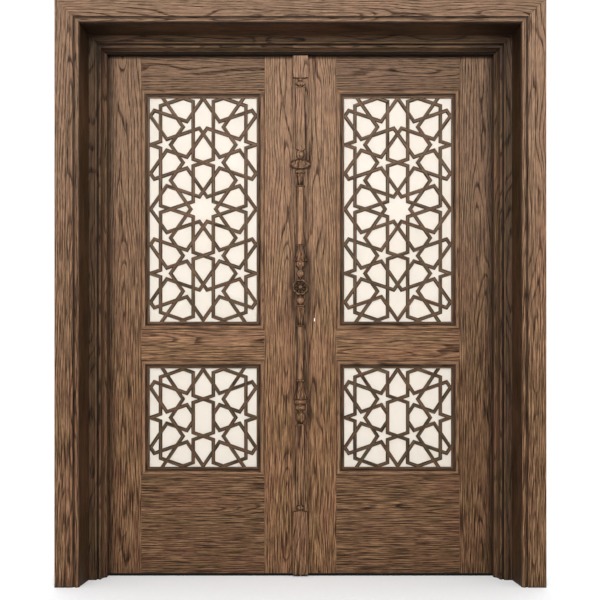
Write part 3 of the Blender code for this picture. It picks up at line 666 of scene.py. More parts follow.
def makeLeafWood(word):
    body = f"{word}_leaf"
    for part in ("hinge_stile", "meeting_stile", "bottom_rail", "lock_rail", "top_rail"):
        node = f"{word}_{part}"
        low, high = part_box(node)
        middle, _, _ = frontOf(low, high)
        if part == "bottom_rail":
            middle.z += leafWood["bottomPithRise"]
        board = newBoard(upright if part.endswith("stile") else level, middle, leafWood["tones"][node])
        shape = newShape()
        addBlock(shape, low, high, board, leafWood["arris"])
        piece = makePiece(node, shape, "stainedOakLeaf", body, "oak_leaf")
        if node == "right_meeting_stile":
            cutKeyhole(piece)
    # A black bristle block under each leaf fills the gap to the floor with a dark line: painted shadow where
    # the gap's shade falls.
    outer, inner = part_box(f"{word}_hinge_stile"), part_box(f"{word}_meeting_stile")
    gapShadowY = leafFrontY + gapShadowBlock["behindFace"]
    low = (min(outer[0].x, inner[0].x), gapShadowY, gapShadowBlock["aboveFloor"])
    high = (max(outer[1].x, inner[1].x), gapShadowY + gapShadowBlock["thickness"], outer[0].z)
    shape = newShape()
    addBlock(shape, low, high, newBoard(upright, low), gapShadowBlock["arris"])
    makePiece(f"{word}_brush_seal", shape, "sealBristle", body, None)


for word, _ in sides:
    makeLeafWood(word)
print("stiles and rails made")


# The star lattice's lines, in units in which a line passes one unit from the middle of its rosette

golden = (1 + math.sqrt(5)) / 2
contactRadius = 2 * golden
notchRadius = 2 / golden
starTip = 1 + 1 / math.sqrt(5)
starWaist = 1 - 1 / math.sqrt(5)
patternHalfWidth = 2 * golden**2
starRow = starTip / math.tan(math.radians(18))
starStep = 2 * starTip
barEnd = math.tan(math.radians(18))


def polar(radius, degrees):
    return cmath.rect(radius, math.radians(degrees))


def rosetteLines(middle):
    # A ten-fold rosette: from each contact point, two lines that stop at the notches of its inner star.
    lines = []
    for k in range(10):
        for turn in (-36, 36):
            lines.append((middle + polar(contactRadius, 36 * k), middle + polar(notchRadius, 36 * k + turn)))
    return lines


def starCorners(middle, firstTipDeg):
    corners = []
    for k in range(5):
        corners.append(middle + polar(starTip, firstTipDeg + 72 * k))
        corners.append(middle + polar(starWaist, firstTipDeg + 72 * k + 36))
    return corners


def sidesOf(points, closed=True):
    return list(zip(points, points[1:] + points[:1] if closed else points[1:]))


def capLines(halfHeight):
    # What joins the inner star to the top edge: a bar, its slanted end and the line to the edge's middle.
    tip = complex(-1, halfHeight - math.tan(math.radians(54)))
    barTop = complex(-1, halfHeight - barEnd)
    return [(tip, barTop), (tip, complex(0, halfHeight)), (barTop, complex(-2, halfHeight))]


def tallQuarter():
    halfHeight = 2 * starRow + polar(starStep, 36).imag
    nearStar = complex(-starTip, starRow)
    edgeStar = nearStar + polar(starStep, 144)
    corners = starCorners(edgeStar + polar(starStep, 36), 0)
    barFoot = starCorners(nearStar, 0)[2]
    crossing = corners[0] - polar(1, 18) / golden**2 / math.cos(math.radians(18))
    cut = capLines(halfHeight)
    cut += [(barFoot, corners[2]), (corners[6], crossing)]
    cut += [(barFoot, -crossing.conjugate()), (-barFoot.conjugate(), crossing)]
    cut += sidesOf(corners[2:7], closed=False)
    turnPoint = complex(-patternHalfWidth, halfHeight)
    turned = [(turnPoint - a, turnPoint - b) for a, b in cut]
    return cut + turned + sidesOf(starCorners(nearStar, 0)) + sidesOf(starCorners(edgeStar, 36)), halfHeight


def squareQuarter():
    edgeStar = complex(starTip - patternHalfWidth, 0)
    innerStar = edgeStar + polar(starStep, 36)
    bar = [(complex(-1, barEnd), complex(-1, 0))]
    stars = sidesOf(starCorners(edgeStar, 36)) + sidesOf(starCorners(innerStar, 0))
    return capLines(starRow) + bar + stars, starRow


def patternLines(tall):
    quarter, halfHeight = tallQuarter() if tall else squareQuarter()
    corner = complex(patternHalfWidth, halfHeight)
    lines = rosetteLines(0) if tall else []
    for a, b in quarter:
        for flipX in (1, -1):
            for flipZ in (1, -1):
                lines.append(tuple(complex(flipX * p.real, flipZ * p.imag) for p in (a, b)))
    edge = [corner, -corner.conjugate(), -corner, corner.conjugate()]
    for point in edge:
        lines += rosetteLines(point)
    return lines + sidesOf(edge), halfHeight


def cross(a, b):
    return (a.conjugate() * b).imag


def byPlace(point):
    return point.real, point.imag


def splitLines(lines, halfHeight):
    # Cuts every line where another meets it, and keeps what lies inside the pattern's edge.
    near, kept = 1e-6, set()
    for a, b in lines:
        cuts = {0.0, 1.0}
        for p, q in lines:
            turn = cross(b - a, q - p)
            if abs(turn) > near / 10:
                place, onOther = cross(p - a, q - p) / turn, cross(p - a, b - a) / turn
                if -near < place < 1 + near and -near < onOther < 1 + near:
                    cuts.add(place)
        for low, high in sidesOf(sorted(cuts), closed=False):
            middle = a + (b - a) * (low + high) / 2
            if abs(middle.real) > patternHalfWidth + near or abs(middle.imag) > halfHeight + near:
                continue
            ends = [a + (b - a) * share for share in (low, high)]
            ends = sorted((complex(round(p.real, 5), round(p.imag, 5)) for p in ends), key=byPlace)
            if ends[0] != ends[1]:
                kept.add(tuple(ends))
    return kept


def cellsOf(edges):
    # The cells that the edges enclose, each a list of corners anticlockwise.
    around = {}
    for a, b in edges:
        around.setdefault(a, []).append(b)
        around.setdefault(b, []).append(a)
    for point, others in around.items():
        others.sort(key=lambda other: cmath.phase(other - point))
    cells, used = [], set()
    for start in sorted(around, key=byPlace):
        for other in around[start]:
            cell, a, b = [], start, other
            while (a, b) not in used:
                used.add((a, b))
                cell.append(a)
                a, b = b, around[b][around[b].index(a) - 1]
            if cell and sum(cross(p, q) for p, q in sidesOf(cell)) > 0:
                cells.append(cell)
    return cells


def insetCell(corners, insets):
    # Moves each side inwards by its inset, or returns None where the cell closes up.
    count = len(corners)
    ways = [(b - a) / abs(b - a) for a, b in sidesOf(corners)]
    moved = []
    for i in range(count):
        before, after = ways[i - 1], ways[i]
        slide = (insets[i] - insets[i - 1] * (before.conjugate() * after).real) / cross(before, after)
        moved.append(corners[i] + 1j * before * insets[i - 1] - before * slide)
    for (a, b), way in zip(sidesOf(moved), ways):
        if ((b - a) * way.conjugate()).real <= 0:
            return None
    return moved


# The lattices

lattice = {
    "border": 0.034,
    "strapWidth": 0.015,
    "margin": 0.003,
    "rise": 0.004,
    # The strap's section, from its middle line round to its back: share of half its width, and depth.
    "section": (
        (0, 0), (0.45, 0.0003), (0.74, 0.001), (0.92, 0.0022),
        (1, 0.0036), (1, 0.0076), (0.92, 0.008), (0, 0.008),
    ),
    # the strap's sides from this share of its half width on are drawn dark: painted shade
    "shadeFrom": 0.74,
    "near": 1e-5,  # places closer than this count as one
    "leastArea": 1e-10,
}


def latticeCells(windowX, windowZ, tall):
    # Each cell in metres: for each side its points, and how far it reaches over the pattern's edge, or None.
    lines, halfHeight = patternLines(tall)
    margin, rise, near = lattice["margin"], lattice["rise"] if tall else 0, lattice["near"]
    edgeX, edgeZ = windowX - margin, windowZ - margin
    cells = []
    for cell in cellsOf(splitLines(lines, halfHeight)):
        bends = []
        for i, point in enumerate(cell):
            turn = cmath.phase((cell[(i + 1) % len(cell)] - point) / (point - cell[i - 1]))
            bends.append(abs(turn) > math.radians(1))
        start = bends.index(True)
        runs = []
        for point, bend in zip(cell[start:] + cell[:start], bends[start:] + bends[:start]):
            if bend:
                runs.append([])
            x, z = point.real * edgeX / patternHalfWidth, point.imag * edgeZ / halfHeight + rise
            runs[-1].append(complex(x, z))
        reaches = []
        for a, b in sidesOf([run[0] for run in runs]):
            reach = None
            if all(abs(abs(p.real) - edgeX) < near for p in (a, b)) and a.real * b.real > 0:
                reach = margin
            for sign in (1, -1):
                if all(abs(p.imag - rise - sign * edgeZ) < near for p in (a, b)):
                    reach = margin - sign * rise
            reaches.append(reach)
        cells.append((runs, reaches))
    return cells


def makeLattice(word, name):
    node = f"{word}_{name}_lattice"
    middle, halfX, halfZ = frontOf(*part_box(node))
    # The window is measured in the opening itself, which is the fitting gap larger than the lattice.
    windowX, windowZ = (half + fitGap - lattice["border"] for half in (halfX, halfZ))
    section, back = lattice["section"], lattice["section"][-1][1]
    shape = newShape()
    index, directions = {}, {}

    def pointAt(p, depth):
        place = (round(middle.x + p.real, 6), round(middle.y + depth, 6), round(middle.z + p.imag, 6))
        if place not in index:
            index[place] = len(shape["points"])
            shape["points"].append(place)
        return index[place]

    def strapBoard(way):
        # Straps that run the same way share one board, cut along their length.
        turn = round(math.degrees(cmath.phase(way)) % 180) % 180
        if turn not in directions:
            along = cmath.rect(1, math.radians(turn))
            directions[turn] = newBoard((along.real, 0, along.imag), middle)
        return directions[turn]

    def addFace(corners, way, pooled=0.0):
        board = strapBoard(way)
        ring = [i for i, after in sidesOf(corners) if i != after]
        if len(set(ring)) < 3:
            return
        spots = [Vector(shape["points"][i]) for i in ring]
        area = sum(((b - spots[0]).cross(c - spots[0]) for b, c in zip(spots[1:], spots[2:])), Vector())
        if area.length > lattice["leastArea"]:
            shape["faces"].append(ring)
            shape["board"].append(board)
            shape["worn"].append(0.0)
            shape["pooled"].append(pooled)

    edgePoints = {0: [], back: []}
    for runs, reaches in latticeCells(windowX, windowZ, name == "upper"):
        corners = [run[0] for run in runs]
        rings = []
        for share, depth in section:
            half = share * lattice["strapWidth"] / 2
            insets = [half if reach is None else -reach for reach in reaches]
            rings.append((insetCell(corners, insets), depth))
        closed = any(ring is None for ring, _ in rings)
        for depth, foot in ((0, rings[0][0]), (back, rings[-1][0])):
            loop = []
            for run, reach, (near, far) in zip(runs, reaches, sidesOf(foot)):
                loop.append(pointAt(near, depth))
                if reach is None:
                    loop += [pointAt(p, depth) for p in run[1:]]
                else:
                    edgePoints[depth] += [near, far]
            if closed:
                addFace(loop, corners[1] - corners[0])
        if closed:
            continue
        for step, ((near, nearDepth), (far, farDepth)) in enumerate(sidesOf(rings, closed=False)):
            # painted shade on the strap's steep sides and back
            pooled = float(section[step][0] >= lattice["shadeFrom"])
            for i, run in enumerate(runs):
                j = (i + 1) % len(runs)
                between = run[1:] if reaches[i] is None else []
                front = [near[i], *(between if step == 0 else ()), near[j]]
                rear = [far[j], *(between[::-1] if far is rings[-1][0] else ()), far[i]]
                face = [pointAt(p, nearDepth) for p in front] + [pointAt(p, farDepth) for p in rear]
                addFace(face, corners[j] - corners[i], pooled)

    # The border between the pattern's edge and the opening, then the lattice's four outer sides.
    for depth, points in edgePoints.items():
        spots = {(round(p.real, 6), round(p.imag, 6)) for p in points}
        for axis in (0, 1):
            for sign in (1, -1):
                window = (windowX, windowZ)[axis] * sign
                inner = [p for p in spots if abs(p[axis] - window) < lattice["near"]]
                inner.sort(key=lambda p: p[1 - axis])
                half = (halfZ, halfX)[axis]
                outer = [(sign * halfX, z) if axis == 0 else (z, sign * halfZ) for z in (-half, half)]
                addFace([pointAt(complex(*p), depth) for p in outer + inner[::-1]], (1j, 1)[axis])
    for a, b in sidesOf([complex(sx * halfX, sz * halfZ) for sx, sz in ((-1, -1), (1, -1), (1, 1), (-1, 1))]):
        addFace([pointAt(a, 0), pointAt(b, 0), pointAt(b, back), pointAt(a, back)], b - a)
    makePiece(node, shape, "stainedOakLattice", f"{word}_leaf", "oak_lattice")


# What holds the lattices and panes

moulding = {
    "width": 0.026,
    "proud": 0.004,
    "bead": 0.018,
    "flat": 0.0015,
    "worn": range(5, 10),
    # The sides drawn dark, the bead's outer edge and the sunk flat down to the lattice: painted shade.
    "dust": {1: 1, 12: 1, 13: 0.85, 14: 0.85, 15: 1},
    "tones": (0.96, 0.9, 0.86, 1.0),  # painted shade at the bottom, right, top and left of an opening: darkest at the top, then the right
}
paneArris = 0.0006
rearBead = {"width": 0.02, "ovolo": 0.009, "worn": range(4, 8)}


def addRing(shape, middle, halfX, halfZ, profile, worn, pooled={}, tones=(1, 1, 1, 1)):
    # A mitred rectangular ring; its profile is (inset, y from the middle), a closed outline.
    corners = [(-1, -1), (1, -1), (1, 1), (-1, 1)]
    for (near, far), along, tone in zip(sidesOf(corners), (level, upright) * 2, tones):
        rings = []
        for sx, sz in (near, far):
            rings.append([middle + Vector((sx * (halfX - u), d, sz * (halfZ - u))) for u, d in profile])
        edge = Vector(((near[0] + far[0]) / 2 * halfX, 0, (near[1] + far[1]) / 2 * halfZ))
        addSweep(shape, rings, newBoard(along, middle + edge, tone), worn, pooled, capped=False)


def mouldingProfile(foot):
    # From the outer edge: the round, then a sunk flat down to the lattice, which painted shade keeps dark.
    radius = moulding["bead"] / 2
    rise = moulding["proud"] + foot / 2
    bead, steps = [], 12
    for i in range(steps + 1):
        angle = math.pi * (1 - i / steps)
        bead.append((radius * (1 + math.cos(angle)), foot / 2 - rise * math.sin(angle)))
    flat = foot - moulding["flat"]
    return [(0, foot), *bead, (moulding["bead"], flat), (moulding["width"], flat), (moulding["width"], foot)]


def rearBeadProfile(depth):
    width, radius = rearBead["width"], rearBead["ovolo"]
    angles = [math.pi / 2 * i / 6 for i in range(7)]
    ovolo = [(width - radius + radius * math.cos(a), depth - radius + radius * math.sin(a)) for a in angles]
    return [(0, depth), (0, 0), (width, 0), *ovolo]


def makeOpening(word, name):
    label, body = f"{word}_{name}", f"{word}_leaf"
    low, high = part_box(f"{label}_moulding")
    centre, halfX, halfZ = frontOf(low, high)
    centre.y = leafFrontY
    shape = newShape()
    profile = mouldingProfile(high.y - leafFrontY)
    addRing(shape, centre, halfX, halfZ, profile, moulding["worn"], moulding["dust"], moulding["tones"])
    makePiece(f"{label}_moulding", shape, "stainedOakTrim", body, "oak_trim")

    makeLattice(word, name)

    low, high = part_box(f"{label}_pane")
    shape = newShape()
    addBlock(shape, low, high, newBoard(upright, low), paneArris)
    makePiece(f"{label}_pane", shape, "etchedFloatGlass", body, "frosted_glass")

    low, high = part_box(f"{label}_rear_bead")
    centre.y = low.y
    shape = newShape()
    addRing(shape, centre, halfX, halfZ, rearBeadProfile(high.y - low.y), rearBead["worn"])
    makePiece(f"{label}_rear_bead", shape, "stainedOakTrim", body, "oak_trim")


for word, _ in sides:
    for name in ("lower", "upper"):
        makeOpening(word, name)
print("openings made")


# The hinges, on the back faces

hinge = {
    "plateThickness": 0.0025,
    "knuckleRadius": 0.007,
    "knuckleGap": 0.0005,
    "knuckleEdge": 0.0012,
    "cornerRadius": 0.007,
    "arris": 0.0004,
    "knuckleSteps": 28,
    "ringWidth": 0.0016,
    "ringWaist": 0.9,  # share of the knuckle's radius in the hollow of a ring
    "screwRadius": 0.0036,
    "screwSteps": 32,
    "screwRise": 0.0007,
    "screwSlot": 0.00045,
    "screwSlotDepth": 0.9,  # share of the head's rise
    "screwSlotReach": 0.6,  # share of its radius
    "screwPlaces": (-0.036, 0.0, 0.036),
}


def turned(middle, radius, height, steps):
    # A level ring of points round an upright axis.
    x, y, z = middle
    turns = [2 * math.pi * i / steps for i in range(steps)]
    return [(x + radius * math.cos(a), y + radius * math.sin(a), z + height) for a in turns]


def addScrew(shape, middle, board):
    # A countersunk head with a cross recess, facing the back: rings of points that sink where the cross is.
    x, y, z = middle
    domed = ((1, 0), (0.97, 0.5), (0.8, 0.85), (0.6, 0.95), (0.45, 1), (0.3, 1), (0.16, 1), (0.05, 1))
    rings = []
    for share, height in domed:
        ring = []
        for u, v, _ in turned((0, 0, 0), hinge["screwRadius"] * share, 0, hinge["screwSteps"]):
            inSlot = min(abs(u), abs(v)) < hinge["screwSlot"] and share <= hinge["screwSlotReach"]
            sunk = hinge["screwSlotDepth"] if inSlot else 0
            ring.append((x + u, y + hinge["screwRise"] * (height - sunk), z + v))
        rings.append(ring)
    addSweep(shape, rings, board)


def makeHinge(word, side, number):
    boxes = {half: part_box(f"{word}_hinge_{number}_{half}") for half in ("frame", "leaf")}
    frameLow, frameHigh = boxes["frame"]
    leafLow, leafHigh = boxes["leaf"]
    radius, thick, edge = hinge["knuckleRadius"], hinge["plateThickness"], hinge["knuckleEdge"]
    axisX = (min(frameLow.x, leafLow.x) + max(frameHigh.x, leafHigh.x)) / 2
    axisY = frameHigh.y - radius
    middleZ = (frameLow.z + frameHigh.z) / 2
    halfHeight = (frameHigh.z - frameLow.z) / 2
    clear = radius + 2 * hinge["knuckleGap"]
    for half, flip in (("frame", 1), ("leaf", -1)):
        low, high = boxes[half]
        outward = side * flip  # the frame half lies away from the door's middle
        reach = (high.x - axisX) if outward > 0 else (axisX - low.x)

        def spot(x, y, z):
            return axisX + outward * x, axisY + y, middleZ + z

        shape = newShape()
        board = newBoard(upright, (axisX, axisY, middleZ))
        corner = hinge["cornerRadius"]
        outline = [(clear, -halfHeight), *arcPoints((reach - corner, corner - halfHeight), corner, 90, 0, 5)]
        outline += [(x, -z) for x, z in reversed(outline)]
        layers = []
        for drop, y in ((0, 0), (0, thick - hinge["arris"]), (hinge["arris"], thick)):
            scaleX, scaleZ = 1 - drop / reach, 1 - drop / halfHeight
            layers.append([spot(clear + (x - clear) * scaleX, y - radius, z * scaleZ) for x, z in outline])
        addSweep(shape, layers, board)
        # The tongue runs from the plate into this half's own knuckle: the frame's is below, the leaf's above.
        bottom, top = sorted((-flip * halfHeight, -flip * hinge["knuckleGap"] / 2))
        tongue = [(0, -radius), (clear, -radius), (clear, thick - radius), (0, thick - radius)]
        addSweep(shape, [[spot(x, y, z) for x, y in tongue] for z in (bottom, top)], board)
        ring, waist, steps = hinge["ringWidth"], hinge["ringWaist"], hinge["knuckleSteps"]
        profile = [(edge, bottom), (radius * 0.78, bottom), (radius, bottom + edge)]
        hollow = ((1, 0), (waist, 0.3), (waist, 0.7), (1, 1))
        for z in (bottom + 4 * ring, top - 5 * ring):
            profile += [(radius * share, z + ring * rise) for share, rise in hollow]
        profile += [(radius, top - edge), (radius * 0.78, top), (edge, top)]
        addSweep(shape, [turned((axisX, axisY, middleZ), r, z, steps) for r, z in profile], board)
        for z in hinge["screwPlaces"]:
            addScrew(shape, spot((clear + reach) / 2, thick - radius, z), board)
        body = "frame" if half == "frame" else f"{word}_leaf"
        makePiece(f"{word}_hinge_{number}_{half}", shape, "bronzePlatedSteel", body, "hinge_steel")


for word, side in sides:
    for number in (1, 2, 3):
        makeHinge(word, side, number)
print("hinges made")


# The carved astragal on the left leaf

astragal = {
    "arris": 0.0015,
    "relief": 0.0168,
    "blockWidth": 0.065,
    "stripWidth": 0.041,
    "shaftWidth": 0.033,
    "crownWidth": 0.092,
    "capitalWidth": 0.061,
    "vaseWidth": 0.036,
    "columns": 40,
    "rowStep": 0.0012,
    "tone": 1.05,
    "carvedTone": 1.15,
    "plainTones": (1.08, 1.3),  # of the plain parts, below the rosette and above it
    "plainPithShift": 0.045,
    "plainRise": 0.85,  # for the painted shade, a block or strip counts as this share of its height
    # painted shade on the carving's low parts: from and to this share of its relief, and less of it on the
    # crown
    "shadeBelow": (0.3, 0.62),
    "crownShade": 0.85,
    "wornAbove": (0.86, 1.0),
}
rosette = {
    "heightShare": 0.554,
    "diameter": 0.068,
    "relief": 0.0215,
    "petals": 8,
    "stepsPerPetal": 16,
    "steps": 30,
    "boss": 0.26,
    "notch": 0.14,  # how far the edge draws in between two petals
    # how dark the painted shade is in the rosette's hollows
    "dust": 0.8,
}


def smooth(value, low, high):
    share = min(1, max(0, (value - low) / (high - low)))
    return share * share * (3 - 2 * share)


# Sections: how far the carving stands out as a share of its relief, at s from -1 to 1 across and t down it.

def blockSection(s, t):
    edge = 1 - smooth(abs(s), 0.94, 1)
    frameLine = smooth(abs(abs(s) - 0.74), 0, 0.035)
    return edge * (0.86 + 0.14 * frameLine)


def stripSection(s, t):
    # A flat band with faint reeds, set off by a sunk line on each side.
    return (0.9 + 0.08 * abs(math.cos(2.5 * math.pi * s))) * (1 - smooth(abs(s), 0.86, 0.94))


def roundSection(s, t):
    return math.sqrt(1 - s * s)


def shaftSection(s, t):
    # A rounded shaft between two sunk lines.
    groove = 1 - smooth(abs(abs(s) - 0.72), 0.02, 0.10)
    return math.sqrt(1 - s * s) * (1 - 0.4 * groove)


def flutedSection(s, t):
    angle = math.asin(s)
    return math.cos(angle) * (0.78 + 0.22 * abs(math.cos(3.5 * angle)))


def leafCupSection(s, t):
    # Pointed leaves side by side: a rib in the middle of each, and their tips free at the lower end.
    angle = math.asin(s)
    place = abs((angle / math.pi * 5) % 1 - 0.5)
    rib = 0.10 * (1 - smooth(place, 0, 0.08))
    leaf = 1 - 0.28 * smooth(place, 0.3, 0.5)
    tip = 1 - 0.35 * smooth(t - (1 - 0.9 * place), 0, 0.25)
    return math.cos(angle) * (leaf + rib) * tip * 0.95


def beadedSection(s, t):
    angle = math.asin(s)
    return math.cos(angle) * (0.7 + 0.3 * math.sqrt(abs(math.cos(4 * angle))))


def crownSection(s, t):
    # A boss of leaves: upright ribs that fan out above a raised rim, and a curl at each end.
    v = 2 * t - 1
    away = math.hypot(s, v)
    dome = math.sqrt(max(0, 1 - 0.75 * away * away))
    ribs = abs(math.cos(3.4 * math.pi * s * (1 + 0.3 * v))) * (1 - smooth(away, 0.72, 0.9))
    rim = math.exp(-(((away - 0.8) / 0.1) ** 2)) * smooth(v, -0.3, 0.3)
    curls = math.exp(-(((abs(s) - 0.84) / 0.09) ** 2) - (v / 0.35) ** 2)
    return dome * (0.42 + 0.46 * ribs + 0.3 * rim) + 0.35 * curls


plainSections = (blockSection, stripSection, shaftSection)


# Outlines: half the width and the share of the relief, at t down the element.

def straight(width):
    return lambda t: (width, 1)


def swelling(endWidth, middleWidth, endRelief=0.45):
    def size(t):
        bulge = math.sin(math.pi * t)
        return endWidth + (middleWidth - endWidth) * bulge, endRelief + (1 - endRelief) * bulge
    return size


def bell(topWidth, bottomWidth, leastRelief=0.6):
    wide, narrow = max(topWidth, bottomWidth), min(topWidth, bottomWidth)

    def size(t):
        curve = 1 - math.cos(math.pi / 2 * (1 - t if topWidth > bottomWidth else t))
        return narrow + (wide - narrow) * curve, leastRelief + (1 - leastRelief) * curve
    return size


def oval(width, endShare=0.3, lobes=4):
    # The crown's outline: an oval whose edge waves with its lobes.
    def size(t):
        around = math.acos(1 - 2 * t)
        wave = 1 + 0.05 * math.cos(2 * lobes * around)
        bulge = math.sin(around)
        return width * (endShare + (0.95 - endShare) * bulge**0.75) * wave, 0.7 + 0.3 * bulge
    return size


def columnElements():
    # From top to bottom: where it starts and ends as a share of the height, section, outline and relief.
    names = ("block", "strip", "shaft", "crown", "capital", "vase")
    block, strip, shaft, crown, capital, vase = (astragal[f"{name}Width"] / 2 for name in names)
    return [
        (1, 0.9585, blockSection, straight(block), 0.8),
        (0.957, 0.9525, roundSection, swelling(shaft * 0.3, shaft * 0.6), 0.7),
        (0.952, 0.942, leafCupSection, swelling(shaft * 0.6, strip), 0.8),
        (0.938, 0.821, stripSection, straight(strip), 0.5),
        (0.8185, 0.8025, roundSection, swelling(shaft * 0.7, vase), 0.8),
        (0.8015, 0.7815, crownSection, oval(crown), 1),
        (0.781, 0.773, roundSection, swelling(shaft, strip), 1),
        (0.772, 0.752, leafCupSection, bell(vase, shaft * 0.8), 1),
        (0.7505, 0.7475, beadedSection, swelling(shaft, shaft * 1.25), 0.85),
        (0.747, 0.738, shaftSection, straight(shaft), 0.8),
        (0.737, 0.637, shaftSection, straight(shaft), 0.75),
        (0.6365, 0.6335, beadedSection, swelling(shaft, shaft * 1.3), 0.85),
        (0.633, 0.605, leafCupSection, bell(shaft, capital), 1),
        (0.604, 0.594, roundSection, swelling(strip, vase), 0.8),
        (0.588, 0.573, roundSection, swelling(shaft * 0.4, shaft), 0.7),
        (0.536, 0.521, roundSection, swelling(shaft * 0.5, vase), 1),
        (0.520, 0.5165, beadedSection, swelling(vase * 0.95, vase * 1.1), 0.8),
        (0.513, 0.482, leafCupSection, bell(vase * 1.1, shaft * 0.8), 1),
        (0.4805, 0.4775, beadedSection, swelling(shaft, shaft * 1.2), 0.85),
        (0.477, 0.376, shaftSection, straight(shaft), 0.75),
        (0.3755, 0.3715, beadedSection, swelling(shaft, shaft * 1.25), 0.85),
        (0.370, 0.338, leafCupSection, bell(shaft, capital), 1),
        (0.337, 0.328, flutedSection, swelling(strip * 1.2, capital * 0.9), 0.9),
        (0.326, 0.317, roundSection, swelling(strip, capital * 0.7), 0.8),
        (0.315, 0.290, leafCupSection, swelling(shaft * 0.6, vase * 1.1), 1),
        (0.287, 0.134, stripSection, straight(strip), 0.5),
        (0.133, 0.123, leafCupSection, swelling(shaft * 0.5, strip), 0.8),
        (0.1205, 0, blockSection, straight(block), 0.8),
    ]


def carveRows(baseZ, length, backY):
    # The column's rows of points from top to bottom, how high each point stands, and the rows' sections.
    rows, levels, kinds, columns = [], [], [], astragal["columns"]
    for top, foot, section, size, rise in columnElements():
        plain = section in plainSections
        steps = 1 if plain else max(4, round((top - foot) * length / astragal["rowStep"]))
        counted = astragal["plainRise"] if section in (blockSection, stripSection) else 1
        for k in range(steps + 1):
            width, swell = size(k / steps)
            z = baseZ + length * (top + (foot - top) * k / steps)
            row, heights = [], []
            for i in range(columns + 1):
                s = math.sin(math.pi * (i / columns - 0.5))
                out = swell * max(0, section(s, k / steps))
                heights.append(out * counted)
                row.append((width * s, backY - astragal["relief"] * rise * out, z))
            rows.append(row + [(width, backY, z), (-width, backY, z)])
            levels.append(heights + [0, 0])
            kinds.append(section)
    return rows, levels, kinds


def addRosette(shape, x, y, z):
    # A round flower: a boss in a sunk ring, petals with raised rims, and leaf tips showing between them. The
    # hollows inside the rims are drawn dark: painted shade.
    radius, relief, boss = rosette["diameter"] / 2, rosette["relief"], rosette["boss"]
    petals, steps = rosette["petals"], rosette["steps"]
    count = petals * rosette["stepsPerPetal"]
    rings, pooled = [], {}
    for k in range(1, steps + 1):
        share = k / steps
        ring = []
        for i in range(count):
            angle = 2 * math.pi * i / count
            place = abs((angle / (2 * math.pi) * petals) % 1 - 0.5) * 2  # 0 mid-petal, 1 between two
            between = smooth(place, 0.9, 1)
            rim = smooth(max(0.8 * place, (share - 0.3) / 0.7), 0.6, 0.76) * (1 - between)
            if share < boss:
                height, dark = 0.6 + 0.4 * math.sqrt(1 - (share / boss) ** 2), 0
            else:
                height, dark = 0.5 + 0.42 * rim - 0.25 * between, rosette["dust"] * (1 - rim)
            height *= 1 - 0.3 * smooth(share, 0.94, 1)
            if k < steps:
                pooled[(k - 1) * count + i] = dark
            reached = radius * share * (1 - rosette["notch"] * place**2)
            ring.append((x + reached * math.cos(angle), y - relief * height, z + reached * math.sin(angle)))
        rings.append(ring)
    rings.append([(u, y, v) for u, _, v in rings[-1]])
    start = len(shape["faces"])
    addSweep(shape, rings, newBoard(upright, (0, y - relief, z)))
    for number, dark in pooled.items():
        shape["pooled"][start + number] = dark


def makeAstragal():
    low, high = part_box("astragal_board")
    shape = newShape()
    addBlock(shape, low, high, newBoard(upright, (0, low.y, 0), astragal["tone"]), astragal["arris"])
    makePiece("astragal_board", shape, "stainedOakTrim", "left_leaf", "oak_trim")

    backY, length = low.y - fitGap, high.z - low.z
    frontFace, rosetteZ = backY - astragal["relief"], low.z + length * rosette["heightShare"]
    rows, levels, kinds = carveRows(low.z, length, backY)
    shape = newShape()
    addSweep(shape, rows, newBoard(upright, (0, frontFace, 0), astragal["carvedTone"]))
    pith = (astragal["plainPithShift"], frontFace, 0)
    plainBoards = [newBoard(upright, pith, tone) for tone in astragal["plainTones"]]
    count = len(levels[0])
    for k in range(len(rows) - 1):
        dust = astragal["crownShade"] if kinds[k] is crownSection else 1
        for i in range(count):
            face, j = k * count + i, (i + 1) % count
            raised = (levels[k][i] + levels[k][j] + levels[k + 1][i] + levels[k + 1][j]) / 4
            if kinds[k] in plainSections:
                shape["board"][face] = plainBoards[rows[k][0][2] > rosetteZ]
            # painted shade on the carving's low faces
            shape["pooled"][face] = dust * (1 - smooth(raised, *astragal["shadeBelow"]))
            shape["worn"][face] = smooth(raised, *astragal["wornAbove"])
    addRosette(shape, 0, backY, rosetteZ)
    makePiece("astragal_column", shape, "stainedOakTrim", "left_leaf", "oak_trim", sharpDegrees=50)


makeAstragal()
print("astragal made")


# Floor, backdrop, lights and camera

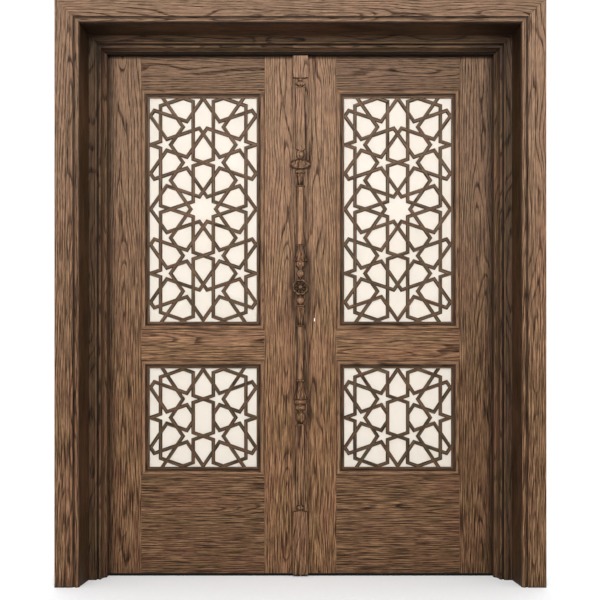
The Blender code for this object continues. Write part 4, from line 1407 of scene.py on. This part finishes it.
studio = {
    "paper": "#fbfcfd",
    "floorHalfWidth": 30.0,
    "floorFront": -7.0,
    "bendStart": 3.2,
    "bend": 2.4,
    "bendSteps": 16,
    "top": 7.0,
    "worldStrength": 0.62,
    "softboxes": {  # place, aim, size and watts
        "keySoftbox": ((0.3, -5.5, 3.9), (0, 0, 1.3), (2.6, 1.6), 310),
        "fillSoftbox": ((-2.8, -4.2, 1.6), (0, 0, 1.0), (1.6, 2.4), 45),
        "backdropSoftbox": ((0, 1.6, 4.6), (0, 5.6, 1.4), (6, 1.2), 165),
    },
    "cameraDistance": 3.8,
    "cameraHeight": 0.9768,
    "lensMm": 57.0,
    "sensorMm": 36,
    "shift": (-0.0007, 0.0725),
}


def makeBackdrop():
    # White studio paper: flat under the door, then curving up well behind it.
    shader, _ = newMaterial("seamlessPaper")
    fill(shader, {"Base Color": linear(studio["paper"]), "Roughness": 0.85, "Specular IOR Level": 0.2})
    start, bend, steps = studio["bendStart"], studio["bend"], studio["bendSteps"]
    line = [(studio["floorFront"], 0), (start, 0)]
    for i in range(1, steps + 1):
        angle = math.pi / 2 * i / steps
        line.append((start + bend * math.sin(angle), bend * (1 - math.cos(angle))))
    line.append((start + bend, studio["top"]))
    points = [(side * studio["floorHalfWidth"], y, z) for y, z in line for _, side in sides]
    mesh = bpy.data.meshes.new("studioFloor")
    mesh.from_pydata(points, [], [(i, i + 1, i + 3, i + 2) for i in range(0, len(points) - 2, 2)])
    mesh.shade_smooth()
    mesh.materials.append(finishes["seamlessPaper"])
    floor = addObject("studioFloor", mesh)


def addSoftbox(name, place, aim, size, watts):
    light = bpy.data.lights.new(name, "AREA")
    light.shape, light.size, light.size_y, light.energy = "RECTANGLE", *size, watts
    lamp = addObject(name, light)
    lamp.location = place
    lamp.rotation_euler = (Vector(aim) - Vector(place)).to_track_quat("-Z", "Y").to_euler()


def makeStudio():
    makeBackdrop()
    for name, values in studio["softboxes"].items():
        addSoftbox(name, *values)
    world = bpy.data.worlds.new("studioWorld")
    world.use_nodes = True
    fill(world.node_tree.nodes["Background"], {"Color": (1, 1, 1, 1), "Strength": studio["worldStrength"]})
    bpy.context.scene.world = world
    bpy.context.scene.view_settings.view_transform = "Standard"
    camera = bpy.data.cameras.new("camera")
    camera.lens, camera.sensor_width = studio["lensMm"], studio["sensorMm"]
    camera.shift_x, camera.shift_y = studio["shift"]
    tripod = addObject("camera", camera)
    tripod.location = (0, frontY - studio["cameraDistance"], studio["cameraHeight"])
    tripod.rotation_euler = (math.pi / 2, 0, 0)
    bpy.context.scene.camera = tripod


makeStudio()
print("studio made")
